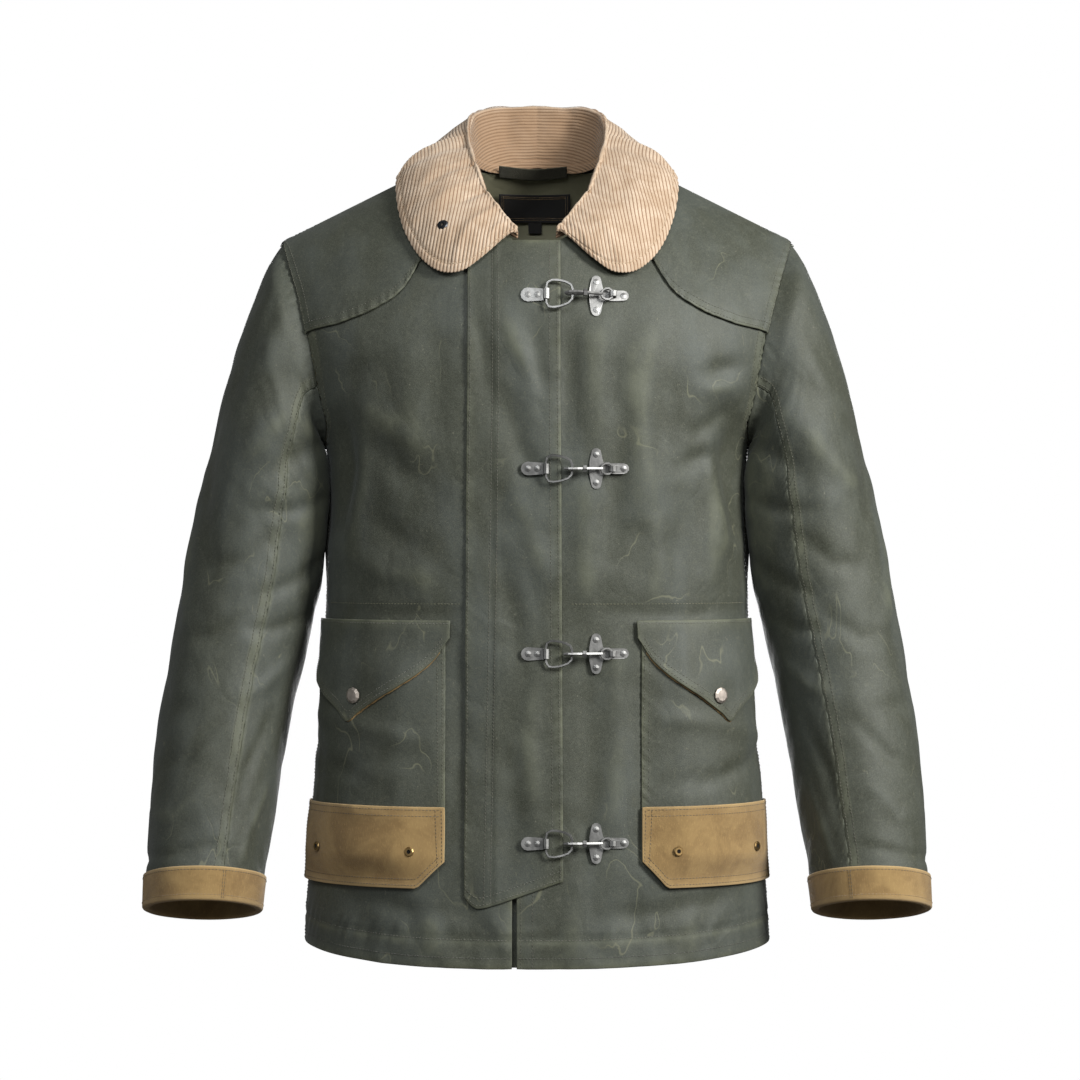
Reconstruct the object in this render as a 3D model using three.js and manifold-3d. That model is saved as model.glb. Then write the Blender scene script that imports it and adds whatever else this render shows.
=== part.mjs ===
// A waxed cotton jacket, filled out as it is worn, with hollow body, sleeves and collar.
// Millimetres, +Z up. The front faces -Y and the wearer's left is at +X.
// The origin is midway between the shoulders, at the height where the jacket rests on them.
import * as THREE from "three";
import Module from "manifold-3d";
import { mergeVertices } from "three/addons/utils/BufferGeometryUtils.js";

// Cloth and layers
const CLOTH = 2.0;
const LAP = 0.4;
const PATCH = 1.6;
const PATCH_BASE = CLOTH + LAP;
const FLAP_TOP = 2.3;
const YOKE_LIFT = 1.2;
const ROUNDNESS = 0.85;

// Shoulders and neck
const SHOULDER_PEAK = 92;
const SHOULDER_SLOPE = 0.5;
const SHOULDER_ROUND = 12;
const SHOULDER_X = 244;
const NECK_X = 74;
const NECK_FRONT_DEPTH = 107;
const NECK_BACK_DEPTH = 78;
const SEAM_HALF_GAP = 0.25;
const FRONT_FADE = 200;
const BACK_FADE = 95;
const ARMPIT_Z = -225;

// Fronts, storm flap and hem
const RIGHT_FRONT_X = -24;
const LEFT_FRONT_X = -18;
const FLAP_LEFT_X = -67;
const FLAP_RIGHT_X = 23.5;
const FLAP_HIGH_Z = -37;
const FLAP_LOW_LEFT_Z = -660;
const FLAP_LOW_RIGHT_Z = -632;
const HEM_SIDE_Z = -700;
const HEM_DROP_FRONT = 13;
const HEM_DROP_BACK = 6;

// Pockets
const POCKET_TOP_Z = -400;
const POCKET_LOW_Z = -638;
const TAN_TOP_Z = -565;
const POCKET_LIFT = 8;
const POCKET_OUT = THREE.MathUtils.degToRad(84);
const POCKET_FLAP_TOP_Z = -391;
const CHAMFER = 25;
const CHAMFER_SHARE = 0.112;

// Clasps
const CLASP_HEIGHTS = [-88.6, -248.6, -421.2, -597.4];
const STEEL = 1.5;
const SNAP_X = 164;
const SNAP_Z = -462;
const GROMMET_INSET = 30;
const GROMMET_OUTER_X = 197;
const GROMMET_Z = -606;

// Half width and front and back depths of the body at each height.
const BODY = [
  { z: -730, width: 224, front: 138, back: 122 },
  { z: -640, width: 219, front: 135, back: 119 },
  { z: -560, width: 213, front: 131, back: 114 },
  { z: -470, width: 207, front: 127, back: 109 },
  { z: -400, width: 203, front: 126, back: 107 },
  { z: -320, width: 200, front: 128, back: 110 },
  { z: -250, width: 200, front: 131, back: 115 },
  { z: -215, width: 205, front: 132, back: 118 },
  { z: -180, width: 221, front: 132, back: 120 },
  { z: -100, width: 255, front: 128, back: 124 },
  { z: -30, width: 276, front: 117, back: 122 },
  { z: 60, width: 290, front: 102, back: 113 },
  { z: 110, width: 296, front: 94, back: 108 },
];

// The armhole as seen from the front, from the shoulder point to the armpit.
const ARMHOLE = [
  { z: -225, x: 201.5 },
  { z: -205, x: 200 },
  { z: -180, x: 205 },
  { z: -137, x: 213 },
  { z: -101, x: 221 },
  { z: -68, x: 231 },
  { z: -30, x: 244 },
];

// Sleeve sections: the outer and inner point of each as seen from the front, the middle's
// place in depth, the half depth, and how far the forearm's section tips forward.
const SLEEVE = [
  { xo: 261, zo: -53, xi: 205.5, zi: -229, y: 0, deep: 72, tip: 0 },
  { xo: 284, zo: -111, xi: 206, zi: -240, y: 0, deep: 78, tip: 0 },
  { xo: 302, zo: -170, xi: 206.5, zi: -264, y: 1, deep: 80, tip: 0 },
  { xo: 316, zo: -232, xi: 208, zi: -296, y: 2, deep: 79, tip: 2 },
  { xo: 328.5, zo: -287, xi: 210.5, zi: -333, y: 1, deep: 77, tip: 4 },
  { xo: 341, zo: -350, xi: 214, zi: -376, y: -3, deep: 75, tip: 7 },
  { xo: 352, zo: -412, xi: 223, zi: -422, y: -10, deep: 72, tip: 10 },
  { xo: 361, zo: -468, xi: 233.5, zi: -470, y: -20, deep: 69, tip: 12 },
  { xo: 367, zo: -525, xi: 243, zi: -524, y: -32, deep: 66, tip: 14 },
  { xo: 370, zo: -575, xi: 250.5, zi: -575, y: -44, deep: 63, tip: 15 },
  { xo: 372, zo: -622, xi: 258.5, zi: -622, y: -54, deep: 61, tip: 15 },
  { xo: 372.5, zo: -660, xi: 263, zi: -660, y: -62, deep: 60, tip: 15 },
  { xo: 373, zo: -697, xi: 266, zi: -697, y: -70, deep: 59, tip: 15 },
];
const SLEEVE_ROWS = SLEEVE.map((section, row) => ({ ...section, row }));
const SLEEVE_MIDDLE = new THREE.Vector3(285, 0, -300);
const SEAM_ANGLE = THREE.MathUtils.degToRad(115);
const SEAM_GAP = 0.011;
const CUFF_TOP = 10.37;
const CUFF_LOW = 11.14;

// Collar stations from the front tip to the middle of the back: the neck seam, the roll
// and the outer edge. The edge lies on the front or the back of the body.
const COLLAR = [
  { neck: 0.0, rx: 19, ry: -101, rz: -24, ex: 26, ez: -32, side: 1 },
  { neck: 0.09, rx: 26, ry: -94, rz: -17, ex: 50, ez: -54, side: 1 },
  { neck: 0.18, rx: 34, ry: -85, rz: -6, ex: 70, ez: -67, side: 1 },
  { neck: 0.28, rx: 42, ry: -73, rz: 6, ex: 92, ez: -65, side: 1 },
  { neck: 0.38, rx: 50, ry: -58, rz: 20, ex: 112, ez: -46, side: 1 },
  { neck: 0.48, rx: 56, ry: -40, rz: 38, ex: 125, ez: -18, side: 1 },
  { neck: 0.58, rx: 61, ry: -18, rz: 55, ex: 131, ez: 8, side: 1 },
  { neck: 0.68, rx: 65, ry: 8, rz: 72, ex: 132, ez: 23, side: 1 },
  { neck: 0.76, rx: 66, ry: 34, rz: 90, ex: 128, ez: 22, side: -1 },
  { neck: 0.84, rx: 60, ry: 61, rz: 104, ex: 110, ez: 19, side: -1 },
  { neck: 0.92, rx: 38, ry: 83, rz: 112, ex: 66, ez: 17, side: -1 },
  { neck: 1.0, rx: 0, ry: 91, rz: 114, ex: 0, ez: 17, side: -1 },
];

const jacket = new THREE.Group();

const MATERIALS = {
  waxed: new THREE.MeshStandardMaterial({ color: 0x484c44, roughness: 0.55 }),
  tan: new THREE.MeshStandardMaterial({ color: 0x8f7249, roughness: 0.7 }),
  corduroy: new THREE.MeshStandardMaterial({ color: 0xd3b899, roughness: 0.9 }),
  inside: new THREE.MeshStandardMaterial({ color: 0x3d3c31, roughness: 0.8 }),
  label: new THREE.MeshStandardMaterial({ color: 0x2a241c, roughness: 0.8 }),
  steel: new THREE.MeshStandardMaterial({ color: 0xc4c4c4, roughness: 0.25, metalness: 1 }),
  snap: new THREE.MeshStandardMaterial({ color: 0x78746f, roughness: 0.4, metalness: 1 }),
  brass: new THREE.MeshStandardMaterial({ color: 0x8a6a35, roughness: 0.4, metalness: 1 }),
};

function add(name, geometry, material) {
  const mesh = new THREE.Mesh(geometry, MATERIALS[material]);
  mesh.name = name;
  jacket.add(mesh);
}

// The value of a table's column at a place along its key column, on a smooth curve.
function smooth(table, key, column, at) {
  const last = table.length - 1;
  let i = 0;
  while (i < last - 1 && at > table[i + 1][key]) i++;
  const slope = (j) => {
    const a = table[Math.max(j - 1, 0)];
    const b = table[Math.min(j + 1, last)];
    return (b[column] - a[column]) / (b[key] - a[key]);
  };
  const span = table[i + 1][key] - table[i][key];
  const t = THREE.MathUtils.clamp((at - table[i][key]) / span, 0, 1);
  const t2 = t * t;
  const t3 = t2 * t;
  return (
    table[i][column] * (2 * t3 - 3 * t2 + 1) +
    slope(i) * span * (t3 - 2 * t2 + t) +
    table[i + 1][column] * (3 * t2 - 2 * t3) +
    slope(i + 1) * span * (t3 - t2)
  );
}

const lerp = THREE.MathUtils.lerp;
const steps = (n, from = 0, to = 1) =>
  Array.from({ length: n + 1 }, (_, i) => lerp(from, to, i / n));

// The shoulder line falls from the neck to each arm and is rounded over the spine.
const shoulderZ = (x) => SHOULDER_PEAK - SHOULDER_SLOPE * Math.hypot(x, SHOULDER_ROUND);

// Body form. The angle runs from 0 at the centre to a quarter turn at the side.
function shoulderFade(x, z, fade) {
  const below = shoulderZ(x) - z;
  const t = 1 - THREE.MathUtils.clamp(below / fade, 0, 1);
  return (1 - t * t) ** 0.67;
}

// side is 1 on the front and -1 on the back.
function bodyPoint(angle, z, side) {
  const width = smooth(BODY, "z", "width", z);
  const depth = smooth(BODY, "z", side > 0 ? "front" : "back", z);
  const x = Math.sign(angle) * width * Math.abs(Math.sin(angle)) ** ROUNDNESS;
  const fade = shoulderFade(x, z, side > 0 ? FRONT_FADE : BACK_FADE);
  const out = depth * Math.max(Math.cos(angle), 0) ** ROUNDNESS * fade;
  const y = -side * Math.max(out, SEAM_HALF_GAP);
  return new THREE.Vector3(x, y, z);
}

function angleAt(x, z) {
  const ratio = Math.min(Math.abs(x) / smooth(BODY, "z", "width", z), 1);
  return Math.sign(x) * Math.asin(ratio ** (1 / ROUNDNESS));
}

function hemZ(angle, side) {
  const drop = side > 0 ? HEM_DROP_FRONT : HEM_DROP_BACK;
  return HEM_SIDE_Z - drop * Math.cos(angle) ** 2;
}

// Outward direction of a grid of points, from its neighbours.
function gridNormals(grid, wrap, outwardFrom) {
  const rows = grid.length;
  const cols = grid[0].length;
  const normals = grid.map((row, r) =>
    row.map((p, c) => {
      const left = wrap ? (c - 1 + cols) % cols : Math.max(c - 1, 0);
      const right = wrap ? (c + 1) % cols : Math.min(c + 1, cols - 1);
      const across = grid[r][right].clone().sub(grid[r][left]);
      const along = grid[Math.min(r + 1, rows - 1)][c].clone().sub(grid[Math.max(r - 1, 0)][c]);
      return across.cross(along).normalize();
    }),
  );
  const mid = grid[rows >> 1][cols >> 1];
  const out = mid.clone().sub(outwardFrom);
  const sign = Math.sign(normals[rows >> 1][cols >> 1].dot(out)) || 1;
  return normals.map((row) => row.map((n) => n.multiplyScalar(sign)));
}

// A closed wall between two grids of points.
function wall(outer, inner, wrap = false) {
  const rows = outer.length;
  const cols = outer[0].length;
  const positions = [];
  for (const sheet of [outer, inner])
    for (const row of sheet) for (const p of row) positions.push(p.x, p.y, p.z);
  const index = (sheet, r, c) => sheet * rows * cols + r * cols + (c % cols);
  const faces = [];
  const quad = (a, b, c, d) => faces.push(a, b, c, a, c, d);
  const spans = wrap ? cols : cols - 1;
  for (let r = 0; r < rows - 1; r++)
    for (let c = 0; c < spans; c++) {
      quad(index(0, r, c), index(0, r, c + 1), index(0, r + 1, c + 1), index(0, r + 1, c));
      quad(index(1, r, c), index(1, r + 1, c), index(1, r + 1, c + 1), index(1, r, c + 1));
    }
  for (let c = 0; c < spans; c++) {
    quad(index(1, 0, c), index(1, 0, c + 1), index(0, 0, c + 1), index(0, 0, c));
    const top = rows - 1;
    quad(index(0, top, c), index(0, top, c + 1), index(1, top, c + 1), index(1, top, c));
  }
  if (!wrap)
    for (let r = 0; r < rows - 1; r++) {
      const side = cols - 1;
      quad(index(0, r, 0), index(0, r + 1, 0), index(1, r + 1, 0), index(1, r, 0));
      quad(index(1, r, side), index(1, r + 1, side), index(0, r + 1, side), index(0, r, side));
    }
  return closed(positions, faces);
}

// Makes the faces point outwards, whatever way the grids ran.
function closed(positions, faces) {
  const point = (i) => new THREE.Vector3().fromArray(positions, 3 * i);
  let volume = 0;
  for (let i = 0; i < faces.length; i += 3)
    volume += point(faces[i]).dot(point(faces[i + 1]).cross(point(faces[i + 2])));
  if (volume < 0)
    for (let i = 0; i < faces.length; i += 3)
      [faces[i], faces[i + 1]] = [faces[i + 1], faces[i]];
  const geometry = new THREE.BufferGeometry();
  geometry.setAttribute("position", new THREE.Float32BufferAttribute(positions, 3));
  geometry.setIndex(faces);
  return geometry;
}

// A grid of points moved out along its normals, by one distance or by one for each point.
function movedOut(grid, normals, distance) {
  const at = (r, c) => (typeof distance === "number" ? distance : distance[r][c]);
  return grid.map((row, r) =>
    row.map((p, c) => p.clone().addScaledVector(normals[r][c], at(r, c))),
  );
}

const BODY_MIDDLE = new THREE.Vector3(0, 0, -300);

// Where a front and a back meet, both walls stand square to the seam.
function squareAtSeams(grid, normals) {
  const seam = SEAM_HALF_GAP * 1.01;
  grid.forEach((row, r) =>
    row.forEach((p, c) => {
      if (Math.abs(p.y) <= seam) normals[r][c].setY(0).normalize();
    }),
  );
  return normals;
}

function bodyWall(grid, from, to) {
  const normals = squareAtSeams(grid, gridNormals(grid, false, BODY_MIDDLE));
  return wall(movedOut(grid, normals, to), movedOut(grid, normals, from));
}

// Edges of the panels
function armholeX(z) {
  return smooth(ARMHOLE, "z", "x", z);
}

function sideAngle(z) {
  if (z <= ARMPIT_Z) return Math.PI / 2;
  return Math.min(angleAt(armholeX(z), z), Math.PI / 2);
}

// The neckline is an oval seen from above, and this finds its height on the body.
function neckPoint(t, side) {
  const turn = (t * Math.PI) / 2;
  const x = NECK_X * Math.sin(turn);
  const depth = (side > 0 ? NECK_FRONT_DEPTH : NECK_BACK_DEPTH) * Math.cos(turn) ** 0.9;
  let low = -120;
  let high = shoulderZ(x);
  for (let i = 0; i < 40; i++) {
    const z = (low + high) / 2;
    if (Math.abs(bodyPoint(angleAt(x, z), z, side).y) > depth) low = z;
    else high = z;
  }
  return { x, z: (low + high) / 2 };
}

// One half of the body from its centre edge to the side seam and armhole. The top edge
// is the neckline and then the shoulder line.
function halfPanel(centreX, hand, side, columns, lowRows, highRows) {
  const neckShare = (centreX * hand < 0 ? 5 : 4) / columns;
  const split = ARMPIT_Z - 25;
  const shareAngle = (u) => Math.sin((u * Math.PI) / 2) ** 0.9 * 0.25 + u * 0.75;
  const rows = [];
  const span = (u, z) => lerp(angleAt(centreX * hand, z), sideAngle(z), u);
  for (const t of steps(lowRows)) {
    rows.push(
      steps(columns).map((u) => {
        const start = hemZ((u * Math.PI) / 2, side);
        return { angle: span(shareAngle(u), lerp(start, split, t)), z: lerp(start, split, t) };
      }),
    );
  }
  const first = (2 / Math.PI) * Math.asin((centreX * hand) / NECK_X);
  const topAt = (u) => {
    if (u < neckShare) {
      return neckPoint(lerp(first, 1, u / neckShare), side);
    }
    const x = lerp(NECK_X, SHOULDER_X, (u - neckShare) / (1 - neckShare));
    return { x, z: shoulderZ(x) };
  };
  const cornerZ = shoulderZ(SHOULDER_X);
  for (const t of steps(highRows).slice(1).map((share) => 1 - (1 - share) ** 1.5)) {
    const edgeZ = lerp(split, cornerZ, t);
    rows.push(
      steps(columns).map((u) => {
        const top = topAt(u);
        const topAngle = angleAt(top.x, top.z);
        const startAngle = span(shareAngle(u), split);
        const z = lerp(split, top.z, t);
        const cornerAngle = angleAt(SHOULDER_X, cornerZ);
        const edgeShift = sideAngle(edgeZ) - lerp(sideAngle(split), cornerAngle, t);
        const angle = lerp(startAngle, topAngle, t) + edgeShift * u ** 3;
        return { angle, z };
      }),
    );
  }
  return rows.map((row) => row.map(({ angle, z }) => bodyPoint(hand * angle, z, side)));
}

function makeBody() {
  add("front_right", bodyWall(halfPanel(RIGHT_FRONT_X, -1, 1, 12, 12, 9), 0, CLOTH), "waxed");
  const leftStart = halfPanel(LEFT_FRONT_X, 1, 1, 12, 12, 9);
  add("front_left", bodyWall(leftStart, 0, CLOTH), "waxed");
  const right = halfPanel(0, -1, -1, 10, 11, 9);
  const left = halfPanel(0, 1, -1, 10, 11, 9);
  const whole = right.map((row, r) => [...row.slice(1).reverse(), ...left[r]]);
  add("back_panel", bodyWall(whole, 0, CLOTH), "waxed");
}

// A patch that lies on a body half: a grid over two shares, whose corners the place
// function gives as an angle and a height.
function layPatch(name, columns, rows, place, from, thick, material, side = 1) {
  const shares = typeof rows === "number" ? steps(rows) : rows;
  const across = steps(columns);
  const grid = shares.map((t) =>
    across.map((u) => bodyPoint(place(u, t).angle, place(u, t).z, side)),
  );
  const normals = squareAtSeams(grid, gridNormals(grid, false, BODY_MIDDLE));
  const low = shares.map((t) => across.map((u) => from(u, t, place(u, t))));
  const high = low.map((row) => row.map((d) => d + thick));
  add(name, wall(movedOut(grid, normals, high), movedOut(grid, normals, low)), material);
}

// Yokes, from the lower edge up to the shoulder seam
const YOKE = [
  { u: 0, x: 100, z: -38 },
  { u: 0.25, x: 124, z: -79 },
  { u: 0.5, x: 150, z: -98 },
  { u: 0.75, x: 178, z: -109 },
  { u: 1, x: 211, z: -119 },
];

function makeYoke(name, hand) {
  const place = (u, t) => {
    const x0 = smooth(YOKE, "u", "x", u);
    const z0 = smooth(YOKE, "u", "z", u);
    const x1 = lerp(NECK_X + 8, SHOULDER_X, u);
    const z1 = shoulderZ(x1);
    const z = lerp(z0, z1, t);
    const x = u === 1 ? armholeX(z) : lerp(x0, x1, t);
    return { angle: hand * angleAt(x, z), z };
  };
  const rows = steps(9).map((share) => 1 - (1 - share) ** 1.6);
  layPatch(name, 9, rows, place, () => PATCH_BASE + YOKE_LIFT, PATCH, "waxed");
}

// The storm flap stands a little further off where the chest curves in to the neck.
function flapRise(z) {
  return THREE.MathUtils.smoothstep(z, -190, -120);
}

function makeStormFlap() {
  const lower = (u) => {
    const corner = 14 * Math.exp(-u * 14);
    return lerp(FLAP_LOW_LEFT_Z, FLAP_LOW_RIGHT_Z, Math.max(u - 0.12, 0) / 0.88) + corner;
  };
  const place = (u, t) => {
    const x = lerp(FLAP_LEFT_X + 4 * t, FLAP_RIGHT_X - 3 * t, u);
    const collared = THREE.MathUtils.clamp((-22 - x) / 24, 0, 1);
    const z = lerp(lower(u), FLAP_HIGH_Z + 10 * collared, t);
    return { angle: angleAt(x, z), z };
  };
  const from = (u, t, at) => PATCH_BASE + flapRise(at.z);
  layPatch("storm_flap", 6, 16, place, from, CLOTH, "waxed");
}

// The lower edge of a pocket's flap, from its inner corner outwards
const FLAP_EDGE = [
  { u: 0, low: -406 },
  { u: 0.07, low: -428 },
  { u: 0.18, low: -447 },
  { u: 0.34, low: -466 },
  { u: 0.44, low: -478 },
  { u: 0.5, low: -486 },
  { u: 0.58, low: -475 },
  { u: 0.72, low: -460 },
  { u: 1, low: -428 },
];

// Pockets. A pocket stands off the front in its middle and lies on it at its edges.
const plateau = (t) => Math.min(1, 1.7 * Math.sin(Math.PI * THREE.MathUtils.clamp(t, 0, 1)));

function pocketLift(u, z) {
  const top = THREE.MathUtils.smoothstep(POCKET_TOP_Z + 8 - z, 0, 60);
  const foot = THREE.MathUtils.smoothstep(z - POCKET_LOW_Z, 0, 30);
  return POCKET_LIFT * plateau(u) * Math.min(0.3 + 0.7 * top, foot);
}

function makePocket(word, hand, innerX) {
  const inner = (z) => angleAt(innerX, z);
  const share = (angle, z) => (angle - inner(z)) / (POCKET_OUT - inner(z));
  const lift = (angle, z) => pocketLift(share(Math.abs(angle), z), z);
  const lower = (u) => CHAMFER * Math.max(1 - u / CHAMFER_SHARE, 0);
  const between = (top, low) => (u, t) => {
    const z = lerp(low(u), top, t);
    return { angle: hand * lerp(inner(z), POCKET_OUT, u), z };
  };
  const foot = (u) => POCKET_LOW_Z + lower(u);
  const from = (extra) => (u, t, at) => PATCH_BASE + extra + lift(at.angle, at.z);
  const tanShare = (TAN_TOP_Z - POCKET_LOW_Z) / (POCKET_TOP_Z - POCKET_LOW_Z);
  const pocketRows = [...steps(5, 0, tanShare), ...steps(5, tanShare, 1).slice(1)];
  const body = between(POCKET_TOP_Z, foot);
  layPatch("pocket_" + word, 9, pocketRows, body, from(0), PATCH, "waxed");
  const tanPlace = between(TAN_TOP_Z, (u) => foot(u) - 1.5);
  layPatch("pocket_panel_" + word, 9, 5, tanPlace, from(FLAP_TOP), PATCH, "tan");
  const flapIn = angleAt(innerX - 5, POCKET_FLAP_TOP_Z);
  const flapPlace = (u, t) => {
    const z = lerp(smooth(FLAP_EDGE, "u", "low", u), POCKET_FLAP_TOP_Z, t);
    return { angle: hand * lerp(flapIn, POCKET_OUT, u), z };
  };
  layPatch("pocket_flap_" + word, 14, 4, flapPlace, from(FLAP_TOP), PATCH, "waxed");
  const proud = (x, z) => PATCH_BASE + FLAP_TOP + lift(angleAt(x, z), z) + PATCH + 0.4;
  const onFlap = proud(SNAP_X, SNAP_Z);
  stud("pocket_snap_" + word, hand, SNAP_X, SNAP_Z, onFlap, 7.5, 2.5, "snap");
  const grommets = { inner: innerX + GROMMET_INSET, outer: GROMMET_OUTER_X };
  for (const [end, x] of Object.entries(grommets)) {
    const name = "grommet_" + word + "_" + end;
    ring(name, hand, x, GROMMET_Z, proud(x, GROMMET_Z), 4.8, 2, 1, "brass");
  }
}

// A point on the front at a place seen from the front, and the outward direction there.
function onFront(x, z) {
  const at = (dx, dz) => bodyPoint(angleAt(x + dx, z + dz), z + dz, 1);
  const across = at(1, 0).sub(at(-1, 0));
  const along = at(0, 1).sub(at(0, -1));
  return { point: at(0, 0), normal: across.cross(along).normalize() };
}

// Turns a piece made about its own +Z axis so that it stands on the front.
function standOn(geometry, x, z, from) {
  const { point, normal } = onFront(x, z);
  const turn = new THREE.Quaternion().setFromUnitVectors(new THREE.Vector3(0, 0, 1), normal);
  geometry.applyQuaternion(turn);
  const place = point.addScaledVector(normal, from);
  return geometry.translate(place.x, place.y, place.z);
}

function lathe(profile, sides) {
  const points = profile.map(([r, z]) => new THREE.Vector2(r, z));
  return new THREE.LatheGeometry(points, sides).rotateX(Math.PI / 2);
}

function stud(name, hand, x, z, from, radius, height, material) {
  const dome = [[0, 0], [radius, 0], [radius, height * 0.5], [radius * 0.7, height], [0, height]];
  add(name, standOn(solid(lathe(dome, 10)), hand * x, z, from), material);
}

function ring(name, hand, x, z, from, radius, hole, height, material) {
  const profile = [[hole, 0], [radius, 0], [radius * 0.8, height], [hole, height], [hole, 0]];
  add(name, standOn(solid(lathe(profile, 10)), hand * x, z, from), material);
}

// Merges shared points and makes the faces point outwards.
function solid(geometry) {
  geometry.deleteAttribute("normal");
  geometry.deleteAttribute("uv");
  const merged = mergeVertices(geometry, 1e-4);
  return closed([...merged.attributes.position.array], facesOf(merged));
}

function facesOf(geometry) {
  const index = geometry.index.array;
  const faces = [];
  for (let i = 0; i < index.length; i += 3) {
    const [a, b, c] = [index[i], index[i + 1], index[i + 2]];
    if (a !== b && b !== c && a !== c) faces.push(a, b, c);
  }
  return faces;
}

// Sleeves. The angle round a section runs from its outer point over the front.
function armholePoint(turn, hand) {
  const side = turn <= Math.PI ? 1 : -1;
  const t = side > 0 ? turn / Math.PI : 2 - turn / Math.PI;
  const z = lerp(shoulderZ(SHOULDER_X), ARMPIT_Z, (1 - Math.cos(t * Math.PI)) / 2);
  const angle = sideAngle(z) * hand;
  const at = (a, h) => bodyPoint(a, h, side);
  const across = at(angle, z).sub(at(angle * 0.98, z)).normalize();
  const along = at(angle * 0.99, z + 2).sub(at(angle * 0.99, z - 2));
  const normal = across.clone().cross(along).normalize();
  if (normal.y * side > 0) normal.negate();
  const atShoulder = new THREE.Vector3(hand * 0.3, 0, 1);
  const atArmpit = new THREE.Vector3(hand, 0, 0);
  const out = t > 0.97 ? atArmpit : t < 0.03 ? atShoulder : normal;
  const clear = new THREE.Vector3(hand * (t < 0.15 ? 2 : 1.4), 0, t > 0.9 ? 0.8 : 0);
  return at(angle, z).addScaledVector(out, CLOTH).add(clear);
}

function sleevePoint(row, turn, hand) {
  const at = (column) => smooth(SLEEVE_ROWS, "row", column, row);
  const half = Math.cos(turn) / 2;
  const x = (at("xo") + at("xi")) / 2 + (at("xo") - at("xi")) * half;
  const forward = at("deep") * Math.sin(turn);
  const lean = forward * Math.tan(THREE.MathUtils.degToRad(at("tip")));
  const z = (at("zo") + at("zi")) / 2 + (at("zo") - at("zi")) * half + lean;
  return new THREE.Vector3(hand * x, at("y") - forward, z);
}

function sleeveWall(turns, hand) {
  const rows = steps(11, 0, 11);
  const ringAt = (turn) => (turn + 2 * Math.PI) % (2 * Math.PI);
  const grid = [
    turns.map((turn) => armholePoint(ringAt(turn), hand)),
    ...rows.map((row) => turns.map((turn) => sleevePoint(row, turn, hand))),
  ];
  const middle = SLEEVE_MIDDLE.clone();
  middle.x *= hand;
  const normals = gridNormals(grid, false, middle);
  return wall(grid, movedOut(grid, normals, -CLOTH));
}

function makeSleeve(word, hand) {
  const gap = SEAM_GAP;
  const upper = steps(12, -SEAM_ANGLE + gap, SEAM_ANGLE - gap);
  const under = steps(7, SEAM_ANGLE + gap, 2 * Math.PI - SEAM_ANGLE - gap);
  add("sleeve_" + word + "_upper", sleeveWall(upper, hand), "waxed");
  add("sleeve_" + word + "_under", sleeveWall(under, hand), "waxed");
  makeCuff("cuff_" + word, hand);
}

// A cuff folds round the sleeve's end: a band outside it and a shorter one inside.
function makeCuff(name, hand) {
  const out = 0.9;
  const thick = 1.8;
  const inside = CLOTH + 0.9;
  const outer = [
    { row: CUFF_TOP, off: out + thick },
    { row: (CUFF_TOP + CUFF_LOW) / 2, off: out + thick },
    { row: CUFF_LOW + 0.02, off: out + thick },
    { row: CUFF_LOW + 0.06, off: -inside - thick },
    { row: CUFF_TOP + 0.2, off: -inside - thick },
  ];
  const inner = [
    { row: CUFF_TOP, off: out },
    { row: (CUFF_TOP + CUFF_LOW) / 2, off: out },
    { row: CUFF_LOW - 0.02, off: out },
    { row: CUFF_LOW - 0.02, off: -inside },
    { row: CUFF_TOP + 0.2, off: -inside },
  ];
  const turns = [
    ...steps(12, -SEAM_ANGLE, SEAM_ANGLE),
    ...steps(7, SEAM_ANGLE, 2 * Math.PI - SEAM_ANGLE).slice(1, 7),
  ];
  const sheet = (rows) =>
    rows.map(({ row, off }) =>
      turns.map((turn) => {
        const centre = sleevePoint(row, 0, hand).add(sleevePoint(row, Math.PI, hand)).divideScalar(2);
        const p = sleevePoint(row, turn, hand);
        const flat = p.clone().sub(centre);
        return p.addScaledVector(flat.normalize(), off);
      }),
    );
  add(name, wall(sheet(outer), sheet(inner), true), "tan");
}

// Collar. Each station runs up the stand, over the roll and down the fall.
const COLLAR_HALF = 1.3;
const EYELET_X = -84;
const EYELET_Z = -21;
const ROLL_CLEAR = 4.4;
const EDGE_OVER_SEAM = 4.6;
const SEAT_INSET = 3.4;
const SEAT_RISE = 4.8;

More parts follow.
